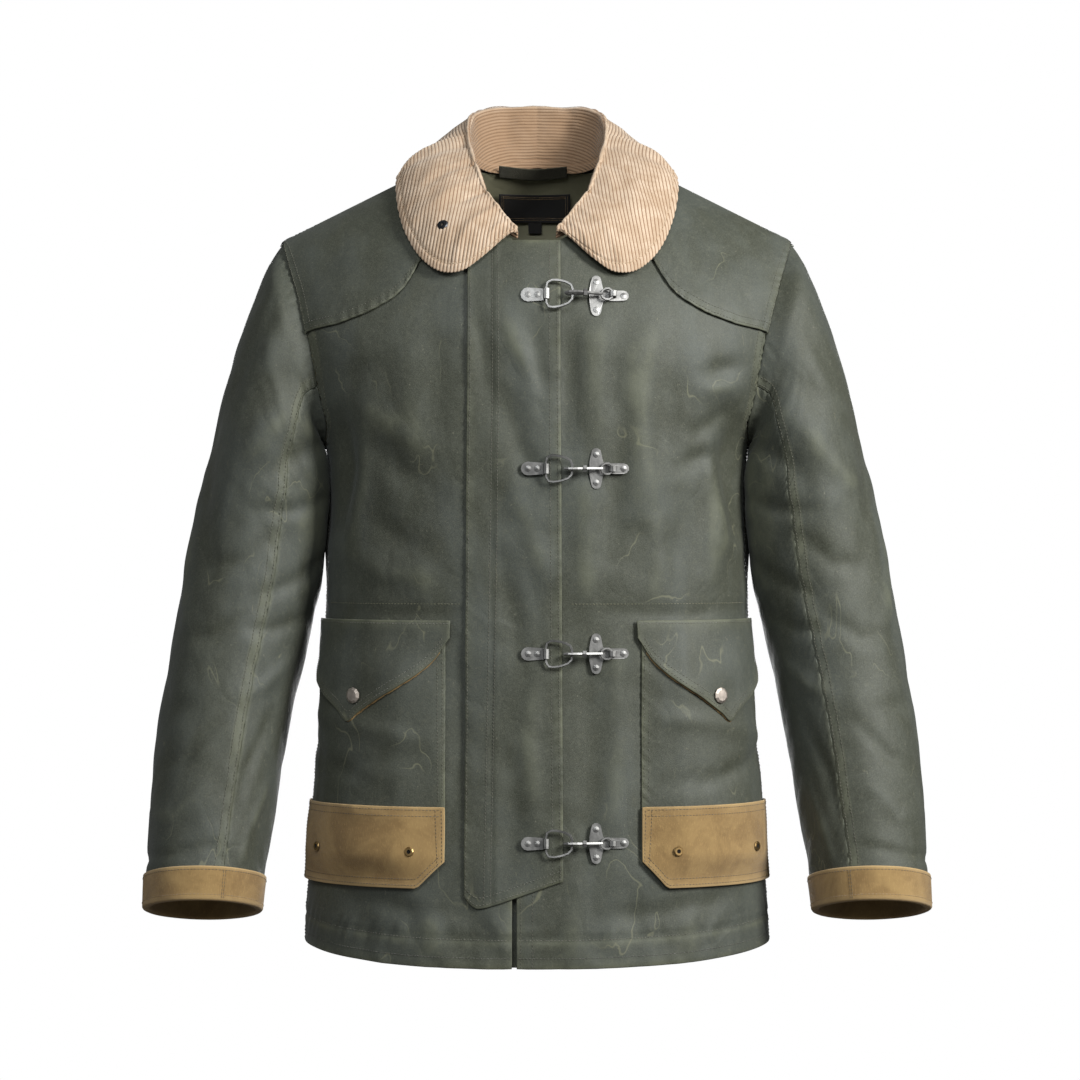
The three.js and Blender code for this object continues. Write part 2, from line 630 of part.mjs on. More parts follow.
function collarStation(at, hand) {
  const column = (name) => smooth(COLLAR, "neck", name, at);
  const sideSeam = 0.68;
  const front = at < sideSeam;
  const t = front ? lerp(0.17, 1, at / sideSeam) : 1 - (at - sideSeam) / (1 - sideSeam);
  const seat = neckPoint(t, front ? 1 : -1);
  const seam = bodyPoint(angleAt(seat.x, seat.z), seat.z, front ? 1 : -1);
  seam.addScaledVector(new THREE.Vector3(seam.x, seam.y, 0).normalize(), -SEAT_INSET);
  seam.z += SEAT_RISE;
  const roll = new THREE.Vector3(column("rx"), column("ry"), column("rz"));
  const neckTurn = (2 / Math.PI) * Math.asin(Math.min(roll.x / NECK_X, 1));
  if (front) roll.z = Math.max(roll.z, neckPoint(neckTurn, 1).z + ROLL_CLEAR);
  const out = new THREE.Vector3(roll.x, roll.y + 5, 0).normalize();
  const side = at < 0.72 ? 1 : -1;
  const edge = edgeOnBody(column("ex"), column("ez"), side, side > 0 ? 8.8 : 7);
  edge.z += EDGE_OVER_SEAM * Math.exp(-((edge.y / 25) ** 2));
  const over = roll.clone().addScaledVector(out, 4.2);
  over.z -= 1;
  const crown = roll.clone().addScaledVector(out, 2);
  crown.z += 2.2;
  const bulge = out.clone().add(new THREE.Vector3(0, 0, 0.8)).normalize();
  const length = edge.distanceTo(over);
  const fall = steps(5).slice(1).map((q) =>
    over.clone().lerp(edge, q).addScaledVector(bulge, 0.13 * length * Math.sin(Math.PI * q)),
  );
  const stand = seam.clone().lerp(roll, 0.5);
  const path = [seam, stand, roll, crown, over, ...fall];
  return path.map((p) => new THREE.Vector3(p.x * hand, p.y, p.z));
}

function edgeOnBody(x, z, side, from) {
  const angle = angleAt(x, z);
  const at = (da, dz) => bodyPoint(angle + da, z + dz, side);
  const normal = at(0.01, 0).sub(at(-0.01, 0)).cross(at(0, 1).sub(at(0, -1))).normalize();
  if (normal.y * side > 0) normal.negate();
  return at(0, 0).addScaledVector(normal, from);
}

function makeCollar() {
  const count = 15;
  const right = steps(count).map((at) => collarStation(at, -1));
  const left = steps(count).slice(0, count).reverse().map((at) => collarStation(at, 1));
  const grid = [...right, ...left];
  const normals = gridNormals(grid, false, new THREE.Vector3(0, 0, 0));
  const outer = movedOut(grid, normals, COLLAR_HALF);
  add("collar", wall(outer, movedOut(grid, normals, -COLLAR_HALF)), "corduroy");
  let best = { far: Infinity };
  right.forEach((station, r) =>
    station.forEach((p, c) => {
      const far = Math.hypot(p.x - EYELET_X, p.z - EYELET_Z);
      if (far < best.far && c > 4) best = { far, place: p, normal: normals[r][c] };
    }),
  );
  const profile = [[2, 0], [5.6, 0], [4.6, 1], [2, 1], [2, 0]];
  const turn = new THREE.Quaternion().setFromUnitVectors(new THREE.Vector3(0, 0, 1), best.normal);
  const seat = best.place.clone().addScaledVector(best.normal, COLLAR_HALF + LAP);
  const eyelet = solid(lathe(profile, 12)).applyQuaternion(turn);
  add("collar_eyelet", eyelet.translate(seat.x, seat.y, seat.z), "snap");
}

// Inside the neck: loop, label and size tab lie on the inner face of the back.
const NECK_TRIMS = [
  { name: "hanger_loop", x0: -38, x1: 30, low: 46, high: 55, gap: 1.6, material: "inside" },
  { name: "neck_label", x0: -38.6, x1: 33.7, low: 5, high: 31.3, gap: 2.8, material: "label" },
  { name: "size_tab", x0: -8.5, x1: 4.1, low: -6.4, high: 3.9, gap: 2.6, material: "label" },
];

function makeNeckTrims() {
  const thick = 1;
  for (const { name, x0, x1, low, high, gap, material } of NECK_TRIMS) {
    const place = (u, t) => {
      const z = lerp(low, high, t);
      return { angle: angleAt(lerp(x0, x1, u), z), z };
    };
    layPatch(name, 4, 2, place, () => -thick - gap, thick, material, -1);
  }
}

// Bends a flat piece, made with its back at z = 0, onto the front.
function bendOnFront(geometry, x, z, from) {
  const position = geometry.attributes.position;
  for (let i = 0; i < position.count; i++) {
    const { point, normal } = onFront(x + position.getX(i), z + position.getY(i));
    point.addScaledVector(normal, from + position.getZ(i));
    position.setXYZ(i, point.x, point.y, point.z);
  }
  return geometry;
}

const wasm = await Module();
wasm.setup();

function toManifold(geometry) {
  const bare = geometry.clone();
  bare.deleteAttribute("normal");
  bare.deleteAttribute("uv");
  const merged = mergeVertices(bare, 1e-4);
  const shape = closed([...merged.attributes.position.array], facesOf(merged));
  const vertProperties = new Float32Array(shape.attributes.position.array);
  const triVerts = new Uint32Array(shape.index.array);
  return new wasm.Manifold(new wasm.Mesh({ numProp: 3, vertProperties, triVerts }));
}

function union(...geometries) {
  const whole = geometries.map(toManifold).reduce((a, b) => a.add(b));
  const mesh = whole.getMesh();
  return closed([...mesh.vertProperties], [...mesh.triVerts]);
}

// A round bar along a curve through points, or a closed ring of it.
function bar(points, radius, segments, sides, loop = false) {
  const curve = new THREE.CatmullRomCurve3(points.map((p) => new THREE.Vector3(...p)), loop);
  const frames = curve.computeFrenetFrames(segments, loop);
  const rings = loop ? segments : segments + 1;
  const positions = [];
  for (let i = 0; i < rings; i++) {
    const centre = curve.getPointAt(i / segments);
    for (let j = 0; j < sides; j++) {
      const turn = (2 * Math.PI * j) / sides;
      const p = centre
        .clone()
        .addScaledVector(frames.normals[i], radius * Math.cos(turn))
        .addScaledVector(frames.binormals[i], radius * Math.sin(turn));
      positions.push(p.x, p.y, p.z);
    }
  }
  const faces = [];
  const index = (i, j) => (i % rings) * sides + (j % sides);
  for (let i = 0; i < segments; i++)
    for (let j = 0; j < sides; j++) {
      const [a, b, c, d] = [index(i, j), index(i, j + 1), index(i + 1, j + 1), index(i + 1, j)];
      faces.push(a, b, c, a, c, d);
    }
  if (!loop)
    for (let j = 1; j < sides - 1; j++) {
      faces.push(index(0, 0), index(0, j + 1), index(0, j));
      faces.push(index(segments, 0), index(segments, j), index(segments, j + 1));
    }
  return closed(positions, faces);
}

function plate(points, thickness) {
  const shape = new THREE.Shape(points.map(([x, y]) => new THREE.Vector2(x, y)));
  return new THREE.ExtrudeGeometry(shape, { depth: thickness, bevelEnabled: false, steps: 1 });
}

// A strip bent in a profile of (x, z) and extruded along y.
function bentStrip(profile, width) {
  const shape = new THREE.Shape(profile.map(([x, z]) => new THREE.Vector2(x, z)));
  const geometry = new THREE.ExtrudeGeometry(shape, { depth: width, bevelEnabled: false });
  return geometry.translate(0, 0, -width / 2).rotateX(Math.PI / 2);
}

const arc = (cx, cy, r, from, to, n) =>
  steps(n, from, to).map((a) => [cx + r * Math.cos(a), cy + r * Math.sin(a)]);

const RIVET = [[0, 0], [3.1, 0], [2.8, STEEL + 0.6], [0, STEEL + 1.3]];
const rivet = (x, y) => lathe(RIVET, 8).translate(x, y, 0);

// The dee plate, with a loop round the straight side of the dee.
const DEE_X = 8.6;
const DEE_RISE = 3.4;

function deePlate() {
  const half = 6.3;
  const round = arc(-14.7 + half, 0, half, Math.PI / 2, (3 * Math.PI) / 2, 6);
  const flat = plate([...round, [DEE_X - 2, -half + 1], [DEE_X - 2, half - 1]], STEEL);
  const outer = arc(DEE_X, DEE_RISE, 3, -Math.PI / 2, Math.PI, 6);
  const inner = arc(DEE_X, DEE_RISE, 1.9, Math.PI, -Math.PI / 2, 6);
  const loop = bentStrip([[DEE_X - 4, 0.4], ...outer, ...inner, [DEE_X - 4, STEEL]], 9);
  return union(flat, loop, rivet(-8, 0), rivet(0.5, 0));
}

function deeRing() {
  const high = 11.6;
  const points = [
    [DEE_X, -8, DEE_RISE],
    [DEE_X, 0, DEE_RISE],
    [DEE_X, 8, DEE_RISE],
    [DEE_X + 2, high, 3.8],
    [DEE_X + 12, high, 4.8],
    [31, 7, 5.5],
    [32.2, 0, 5.6],
    [31, -7, 5.5],
    [DEE_X + 12, -high, 4.8],
    [DEE_X + 2, -high, 3.8],
  ];
  return bar(points, 1.3, 18, 5, true);
}

const EYE_X = 64;
const EYE_RISE = 2.2;

function snapHook() {
  const shank = [
    [60, 0, EYE_RISE + 0.3],
    [52, 0, 4.2],
    [45, 0, 6],
    [38, 0, 8.2],
    [32, 0, 8.9],
    [27, 0, 7.9],
    [25.4, 0, 5.4],
    [27, 0, 2.8],
    [32, 0, 2.3],
    [38, 0, 3],
    [42.5, 0, 5],
  ];
  const eye = [
    [EYE_X - 5.2, 0, EYE_RISE],
    [EYE_X - 3, 4.2, EYE_RISE],
    [EYE_X + 3, 4.6, EYE_RISE],
    [EYE_X + 5.4, 0, EYE_RISE],
    [EYE_X + 3, -4.6, EYE_RISE],
    [EYE_X - 3, -4.2, EYE_RISE],
  ];
  const nut = new THREE.CylinderGeometry(3.4, 3.4, 3.2, 6).rotateZ(Math.PI / 2);
  nut.translate(43.5, 0, 6.2);
  return union(bar(shank, 1.5, 14, 5), bar(eye, 1.25, 10, 5, true), nut);
}

// The hook plate: a cross with rounded ends and a keeper over the hook's eye.
function hookPlate(eyeRise) {
  const tall = 19;
  const right = 85;
  const left = 48.5;
  const middle = 54.8;
  const outline = [
    ...arc(middle, tall - 4.6, 4.6, 0, Math.PI, 5),
    [left, 6],
    [left, -6],
    ...arc(middle, -tall + 4.6, 4.6, Math.PI, 2 * Math.PI, 5),
    [middle + 6.3, -6.2],
    [middle + 9, -5],
    ...arc(right - 4.8, 0, 4.8, -Math.PI / 2, Math.PI / 2, 5),
    [middle + 9, 5],
    [middle + 6.3, 6.2],
  ];
  const barX = EYE_X + 5.4;
  const over = arc(barX, eyeRise, 3.4, 0, Math.PI, 4);
  const under = arc(barX, eyeRise, 2.2, Math.PI, 0, 4);
  const keeper = bentStrip(
    [[barX + 3.4, 0.4], ...over, [barX - 3.4, 0.4], [barX - 2.2, 0.4], ...under, [barX + 2.2, 0.4]],
    5,
  );
  const rivets = [rivet(middle, 13), rivet(middle, -13), rivet(80, 0)];
  return union(plate(outline, STEEL), keeper, ...rivets);
}

function makeClasp(number, z) {
  const flapTop = PATCH_BASE + flapRise(z) + CLOTH + LAP;
  const plateBase = CLOTH + LAP + 0.2;
  const put = (name, geometry, from) =>
    add("clasp_" + number + "_" + name, bendOnFront(geometry, 0, z, from), "steel");
  put("dee_plate", deePlate(), flapTop);
  put("dee_ring", deeRing(), flapTop);
  put("snap_hook", snapHook(), flapTop);
  put("hook_plate", hookPlate(flapTop + EYE_RISE - plateBase), plateBase);
}

makeBody();
makeYoke("yoke_right", -1);
makeYoke("yoke_left", 1);
makeStormFlap();
makePocket("right", -1, 85.5);
makePocket("left", 1, 97.5);
makeSleeve("right", -1);
makeSleeve("left", 1);
makeCollar();
makeNeckTrims();
CLASP_HEIGHTS.forEach((z, i) => makeClasp(i + 1, z));

export default jacket;
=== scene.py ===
"""A waxed cotton jacket, filled out as it is worn. Shapes are worked out in millimetres in the
model's own frame: +Z up, the front faces -Y, the origin lies between the shoulders."""
import math

import bpy
import numpy as np
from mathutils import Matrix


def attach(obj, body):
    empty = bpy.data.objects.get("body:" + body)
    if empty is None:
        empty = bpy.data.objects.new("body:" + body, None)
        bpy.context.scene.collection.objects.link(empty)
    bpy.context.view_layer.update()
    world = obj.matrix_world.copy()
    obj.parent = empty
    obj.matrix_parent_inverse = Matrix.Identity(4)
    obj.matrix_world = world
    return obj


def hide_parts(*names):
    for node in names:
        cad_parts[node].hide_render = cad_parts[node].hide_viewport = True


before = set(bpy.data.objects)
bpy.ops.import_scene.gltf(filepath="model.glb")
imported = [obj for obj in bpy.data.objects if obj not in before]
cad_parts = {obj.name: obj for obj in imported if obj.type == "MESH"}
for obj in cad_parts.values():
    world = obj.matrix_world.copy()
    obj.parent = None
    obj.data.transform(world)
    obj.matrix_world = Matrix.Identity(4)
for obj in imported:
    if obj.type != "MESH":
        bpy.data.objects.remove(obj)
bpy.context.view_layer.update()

MM = 0.001
PI = math.pi
HALF_PI = PI / 2
HEM_ROW = 26
THREAD_TURNS = (-30, 90, 210)
WAIST_Z = -375.0

# Cloth and layers, as in the solids
CLOTH = 2.0
PATCH = 1.6
PATCH_BASE = 2.4
FLAP_TOP = 2.3
YOKE_LIFT = 1.2
ROUNDNESS = 0.85
SHOULDER_PEAK, SHOULDER_SLOPE, SHOULDER_ROUND, SHOULDER_X = 92, 0.5, 12, 244
NECK_X, NECK_FRONT_DEPTH, NECK_BACK_DEPTH = 74, 107, 78
FRONT_FADE, BACK_FADE = 200, 95
ARMPIT_Z = -225
SEAM_HALF_GAP = 0.25
RIGHT_FRONT_X, LEFT_FRONT_X = -24, -18
FLAP_LEFT_X, FLAP_RIGHT_X, FLAP_HIGH_Z = -67, 23.5, -37
FLAP_LOW_LEFT_Z, FLAP_LOW_RIGHT_Z = -660, -632
HEM_SIDE_Z, HEM_DROP_FRONT, HEM_DROP_BACK = -700, 13, 6
POCKET_TOP_Z, POCKET_LOW_Z, TAN_TOP_Z, POCKET_FLAP_TOP_Z = -400, -638, -565, -391
POCKET_LIFT, POCKET_OUT, CHAMFER, CHAMFER_SHARE = 8, math.radians(84), 25, 0.112
SEAM_ANGLE, SEAM_GAP = math.radians(115), 0.011
CUFF_TOP, CUFF_LOW = 10.37, 11.14
CLASP_HEIGHTS = [-88.6, -248.6, -421.2, -597.4]

BODY = {
    "z": [-730, -640, -560, -470, -400, -320, -250, -215, -180, -100, -30, 60, 110],
    "width": [224, 219, 213, 207, 203, 200, 200, 205, 221, 255, 276, 290, 296],
    "front": [138, 135, 131, 127, 126, 128, 131, 132, 132, 128, 117, 102, 94],
    "back": [122, 119, 114, 109, 107, 110, 115, 118, 120, 124, 122, 113, 108],
}
ARMHOLE = {
    "z": [-225, -205, -180, -137, -101, -68, -30],
    "x": [201.5, 200, 205, 213, 221, 231, 244],
}
SLEEVE = {
    "row": list(range(13)),
    "xo": [261, 284, 302, 316, 328.5, 341, 352, 361, 367, 370, 372, 372.5, 373],
    "zo": [-53, -111, -170, -232, -287, -350, -412, -468, -525, -575, -622, -660, -697],
    "xi": [205.5, 206, 206.5, 208, 210.5, 214, 223, 233.5, 243, 250.5, 258.5, 263, 266],
    "zi": [-229, -240, -264, -296, -333, -376, -422, -470, -524, -575, -622, -660, -697],
    "y": [0, 0, 1, 2, 1, -3, -10, -20, -32, -44, -54, -62, -70],
    "deep": [72, 78, 80, 79, 77, 75, 72, 69, 66, 63, 61, 60, 59],
    "tip": [0, 0, 0, 2, 4, 7, 10, 12, 14, 15, 15, 15, 15],
}
COLLAR = {
    "neck": [0, 0.09, 0.18, 0.28, 0.38, 0.48, 0.58, 0.68, 0.76, 0.84, 0.92, 1],
    "rx": [19, 26, 34, 42, 50, 56, 61, 65, 66, 60, 38, 0],
    "ry": [-101, -94, -85, -73, -58, -40, -18, 8, 34, 61, 83, 91],
    "rz": [-24, -17, -6, 6, 20, 38, 55, 72, 90, 104, 112, 114],
    "ex": [26, 50, 70, 92, 112, 125, 131, 132, 128, 110, 66, 0],
    "ez": [-32, -54, -67, -65, -46, -18, 8, 23, 22, 19, 17, 17],
}
YOKE = {
    "u": [0, 0.25, 0.5, 0.75, 1],
    "x": [100, 124, 150, 178, 211],
    "z": [-38, -79, -98, -109, -119],
}
POCKET_FLAP = {
    "u": [0, 0.07, 0.18, 0.34, 0.44, 0.5, 0.58, 0.72, 1],
    "low": [-406, -428, -447, -466, -478, -486, -475, -460, -428],
}


def smooth(table, key, column, at):
    """A table's column at places along its key column, on a smooth curve."""
    xs = np.asarray(table[key], float)
    ys = np.asarray(table[column], float)
    at = np.asarray(at, float)
    i = np.clip(np.searchsorted(xs, at, side="left") - 1, 0, len(xs) - 2)
    before = np.maximum(np.arange(len(xs)) - 1, 0)
    after = np.minimum(np.arange(len(xs)) + 1, len(xs) - 1)
    slopes = (ys[after] - ys[before]) / (xs[after] - xs[before])
    span = xs[i + 1] - xs[i]
    t = np.clip((at - xs[i]) / span, 0, 1)
    return (
        ys[i] * (2 * t**3 - 3 * t**2 + 1)
        + slopes[i] * span * (t**3 - 2 * t**2 + t)
        + ys[i + 1] * (3 * t**2 - 2 * t**3)
        + slopes[i + 1] * span * (t**3 - t**2)
    )


def lerp(a, b, t):
    return a + (b - a) * t


def ease(low, high, value):
    t = np.clip((np.asarray(value, float) - low) / (high - low), 0, 1)
    return t * t * (3 - 2 * t)


def unit(v):
    return v / np.maximum(np.linalg.norm(v, axis=-1, keepdims=True), 1e-9)


# Body form, the same formulas as in the solids


def shoulder_z(x):
    return SHOULDER_PEAK - SHOULDER_SLOPE * np.hypot(x, SHOULDER_ROUND)


def body_point(angle, z, side):
    angle, z = np.broadcast_arrays(np.asarray(angle, float), np.asarray(z, float))
    width = smooth(BODY, "z", "width", z)
    depth = smooth(BODY, "z", "front" if side > 0 else "back", z)
    x = np.sign(angle) * width * np.abs(np.sin(angle)) ** ROUNDNESS
    below = (shoulder_z(x) - z) / (FRONT_FADE if side > 0 else BACK_FADE)
    fade = (1 - (1 - np.clip(below, 0, 1)) ** 2) ** 0.67
    out = depth * np.maximum(np.cos(angle), 0) ** ROUNDNESS * fade
    return np.stack([x, -side * np.maximum(out, SEAM_HALF_GAP), z], -1)


def angle_at(x, z):
    ratio = np.minimum(np.abs(x) / smooth(BODY, "z", "width", z), 1)
    return np.sign(x) * np.arcsin(ratio ** (1 / ROUNDNESS))


def side_angle(z):
    z = np.asarray(z, float)
    edge = np.minimum(angle_at(smooth(ARMHOLE, "z", "x", z), z), HALF_PI)
    return np.where(z <= ARMPIT_Z, HALF_PI, edge)


def hem_z(angle, side):
    return HEM_SIDE_Z - (HEM_DROP_FRONT if side > 0 else HEM_DROP_BACK) * np.cos(angle) ** 2


def neck_point(t, side):
    turn = np.asarray(t, float) * HALF_PI
    x = NECK_X * np.sin(turn)
    depth = (NECK_FRONT_DEPTH if side > 0 else NECK_BACK_DEPTH) * np.cos(turn) ** 0.9
    low = np.full_like(x, -120.0)
    high = shoulder_z(x)
    for _ in range(40):
        z = (low + high) / 2
        deeper = np.abs(body_point(angle_at(x, z), z, side)[..., 1]) > depth
        low = np.where(deeper, z, low)
        high = np.where(deeper, high, z)
    return x, (low + high) / 2


def half_panel(centre_x, hand, side, across, low_rows, high_rows):
    """One half of the body from its centre edge to the side seam and armhole."""
    u = np.linspace(0, 1, across + 1)
    neck_share = (5 if centre_x * hand < 0 else 4) / (12 if side > 0 else 10)
    split = ARMPIT_Z - 25
    share = np.sin(u * HALF_PI) ** 0.9 * 0.25 + u * 0.75

    def span(z):
        return lerp(angle_at(centre_x * hand, z), side_angle(z), share)

    rows = []
    start = hem_z(u * HALF_PI, side)
    for t in np.linspace(0, 1, low_rows + 1):
        z = lerp(start, split, t)
        rows.append((span(z), z))
    first = 2 / PI * math.asin(centre_x * hand / NECK_X)
    neck_x, neck_z = neck_point(lerp(first, 1, np.minimum(u / neck_share, 1)), side)
    out_x = lerp(NECK_X, SHOULDER_X, np.clip((u - neck_share) / (1 - neck_share), 0, 1))
    top_x = np.where(u < neck_share, neck_x, out_x)
    top_z = np.where(u < neck_share, neck_z, shoulder_z(out_x))
    corner_z = shoulder_z(SHOULDER_X)
    corner = angle_at(SHOULDER_X, corner_z)
    for t in 1 - (1 - np.linspace(0, 1, high_rows + 1)[1:]) ** 1.5:
        edge = side_angle(lerp(split, corner_z, t))
        shift = edge - lerp(side_angle(split), corner, t)
        angle = lerp(span(split), angle_at(top_x, top_z), t) + shift * u**3
        rows.append((angle, lerp(split, top_z, t)))
    angles = np.array([a for a, _ in rows])
    heights = np.array([z for _, z in rows])
    return body_point(hand * angles, heights, side)


# Grids


def normals_of(grid, middle, wrap=False):
    """Outward directions of a grid of points, from its neighbours."""
    if wrap:
        across = np.roll(grid, -1, 1) - np.roll(grid, 1, 1)
    else:
        across = np.gradient(grid, axis=1)
    n = unit(np.cross(across, np.gradient(grid, axis=0)))
    out = np.sum(n * (grid - np.asarray(middle, float)), -1)
    return n if out.mean() > 0 else -n


def square_at_seams(grid, n):
    seam = np.abs(grid[..., 1]) <= SEAM_HALF_GAP * 1.01
    n[seam, 1] = 0
    return unit(n)


def edge_distance(grid, edges="lrbt"):
    """Distance over the cloth to the nearest named edge: left, right, bottom or top."""
    across = np.linalg.norm(np.diff(grid, axis=1), axis=-1)
    along = np.linalg.norm(np.diff(grid, axis=0), axis=-1)
    rows, cols = grid.shape[:2]
    zero_col, zero_row = np.zeros((rows, 1)), np.zeros((1, cols))
    from_left = np.hstack([zero_col, np.cumsum(across, 1)])
    from_low = np.vstack([zero_row, np.cumsum(along, 0)])
    far = {
        "l": from_left,
        "r": from_left[:, -1:] - from_left,
        "b": from_low,
        "t": from_low[-1:] - from_low,
    }
    return np.minimum.reduce([far[e] for e in edges])


def make_mesh(name, points, quads, material, slot, nodes=(), uv=None, floats=None):
    mesh = bpy.data.meshes.new(name)
    points = np.asarray(points, float) * MM
    quads = np.asarray(quads, np.int32)
    size = quads.shape[1]
    mesh.vertices.add(len(points))
    mesh.vertices.foreach_set("co", points.ravel())
    mesh.loops.add(quads.size)
    mesh.loops.foreach_set("vertex_index", quads.ravel())
    mesh.polygons.add(len(quads))
    mesh.polygons.foreach_set("loop_start", np.arange(0, quads.size, size, dtype=np.int32))
    mesh.update(calc_edges=True)
    mesh.validate()
    for label, values in (floats or {}).items():
        layer = mesh.attributes.new(label, "FLOAT", "POINT")
        layer.data.foreach_set("value", np.asarray(values, np.float32).ravel())
    if uv is not None:
        layer = mesh.uv_layers.new(name="UVMap")
        layer.data.foreach_set("uv", (np.asarray(uv, float) * MM)[quads.ravel()].ravel())
    mesh.polygons.foreach_set("use_smooth", np.ones(len(quads), bool))
    mesh.materials.append(material)
    obj = bpy.data.objects.new(name, mesh)
    bpy.context.collection.objects.link(obj)
    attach(obj, "root")
    if nodes:
        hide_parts(*nodes)
    return obj


def grid_quads(rows, cols, wrap):
    index = np.arange(rows * cols).reshape(rows, cols)
    if wrap:
        index = np.hstack([index, index[:, :1]])
    return np.stack(
        [index[:-1, :-1], index[:-1, 1:], index[1:, 1:], index[1:, :-1]], -1
    ).reshape(-1, 4)


def shell(name, grid, n, low, high, material, slot, nodes=(), wrap=False, wear=None, floats=None):
    """A closed thin wall of cloth with rounded edges, from a grid of points."""
    rows, cols = grid.shape[:2]
    low = np.broadcast_to(low, (rows, cols))[..., None]
    high = np.broadcast_to(high, (rows, cols))[..., None]
    middle = grid + n * (low + high) / 2
    half = (high - low) / 2
    outer, inner = middle + n * half, middle - n * half
    count = rows * cols
    faces = grid_quads(rows, cols, wrap)
    flip = np.cross(outer[0, 1] - outer[0, 0], outer[1, 0] - outer[0, 0]) @ n[0, 0] < 0
    outer_faces = faces[:, ::-1] if flip else faces
    inner_faces = (faces if flip else faces[:, ::-1]) + count
    points = [outer.reshape(-1, 3), inner.reshape(-1, 3)]
    all_faces = [outer_faces, inner_faces]
    index = np.arange(count).reshape(rows, cols)
    if wrap:
        loops = [(index[0], grid[0] - grid[1]), (index[-1][::-1], (grid[-1] - grid[-2])[::-1])]
    else:
        out = np.zeros_like(grid)
        out[0] += unit(grid[0] - grid[1])
        out[-1] += unit(grid[-1] - grid[-2])
        out[:, 0] += unit(grid[:, 0] - grid[:, 1])
        out[:, -1] += unit(grid[:, -1] - grid[:, -2])
        ring = np.concatenate([index[0], index[1:, -1], index[-1, -2::-1], index[-2:0:-1, 0]])
        loops = [(ring, out.reshape(-1, 3)[ring])]
    steps = 4
    total = 2 * count
    source = [np.arange(count), np.arange(count)]
    for ring, away in loops:
        m, h, up = (a.reshape(count, -1)[ring] for a in (middle, half, n))
        away = unit(away - up * np.sum(away * up, -1, keepdims=True))
        rings = [ring]
        for k in range(1, steps):
            turn = PI * k / steps
            points.append(m + up * h * math.cos(turn) + away * h * math.sin(turn))
            rings.append(np.arange(total, total + len(ring)))
            source.append(ring)
            total += len(ring)
        rings.append(ring + count)
        for a, b in zip(rings[:-1], rings[1:]):
            quad = np.stack([a, np.roll(a, -1), np.roll(b, -1), b], -1)
            all_faces.append(quad if flip else quad[:, ::-1])
    source = np.concatenate(source)
    across = np.linalg.norm(np.diff(grid, axis=1, prepend=grid[:, :1]), axis=-1).cumsum(1)
    along = np.linalg.norm(np.diff(grid, axis=0, prepend=grid[:1]), axis=-1).cumsum(0)
    uv = np.stack([across, along], -1).reshape(-1, 2)[source]
    attributes = {"wear": (np.zeros((rows, cols)) if wear is None else wear).ravel()[source]}
    back = np.zeros(len(source))
    back[count : 2 * count] = 1
    attributes["lining"] = back
    for label, values in (floats or {}).items():
        attributes[label] = values.ravel()[source]
    obj = make_mesh(
        name, np.vstack(points), np.vstack(all_faces), material, slot, nodes, uv, attributes
    )
    return obj, outer


# Folds. Each is a soft line down the cloth: its path, how wide it is and how high it stands
# (a trough is negative). The same lines shape the panels and whatever is sewn on them.

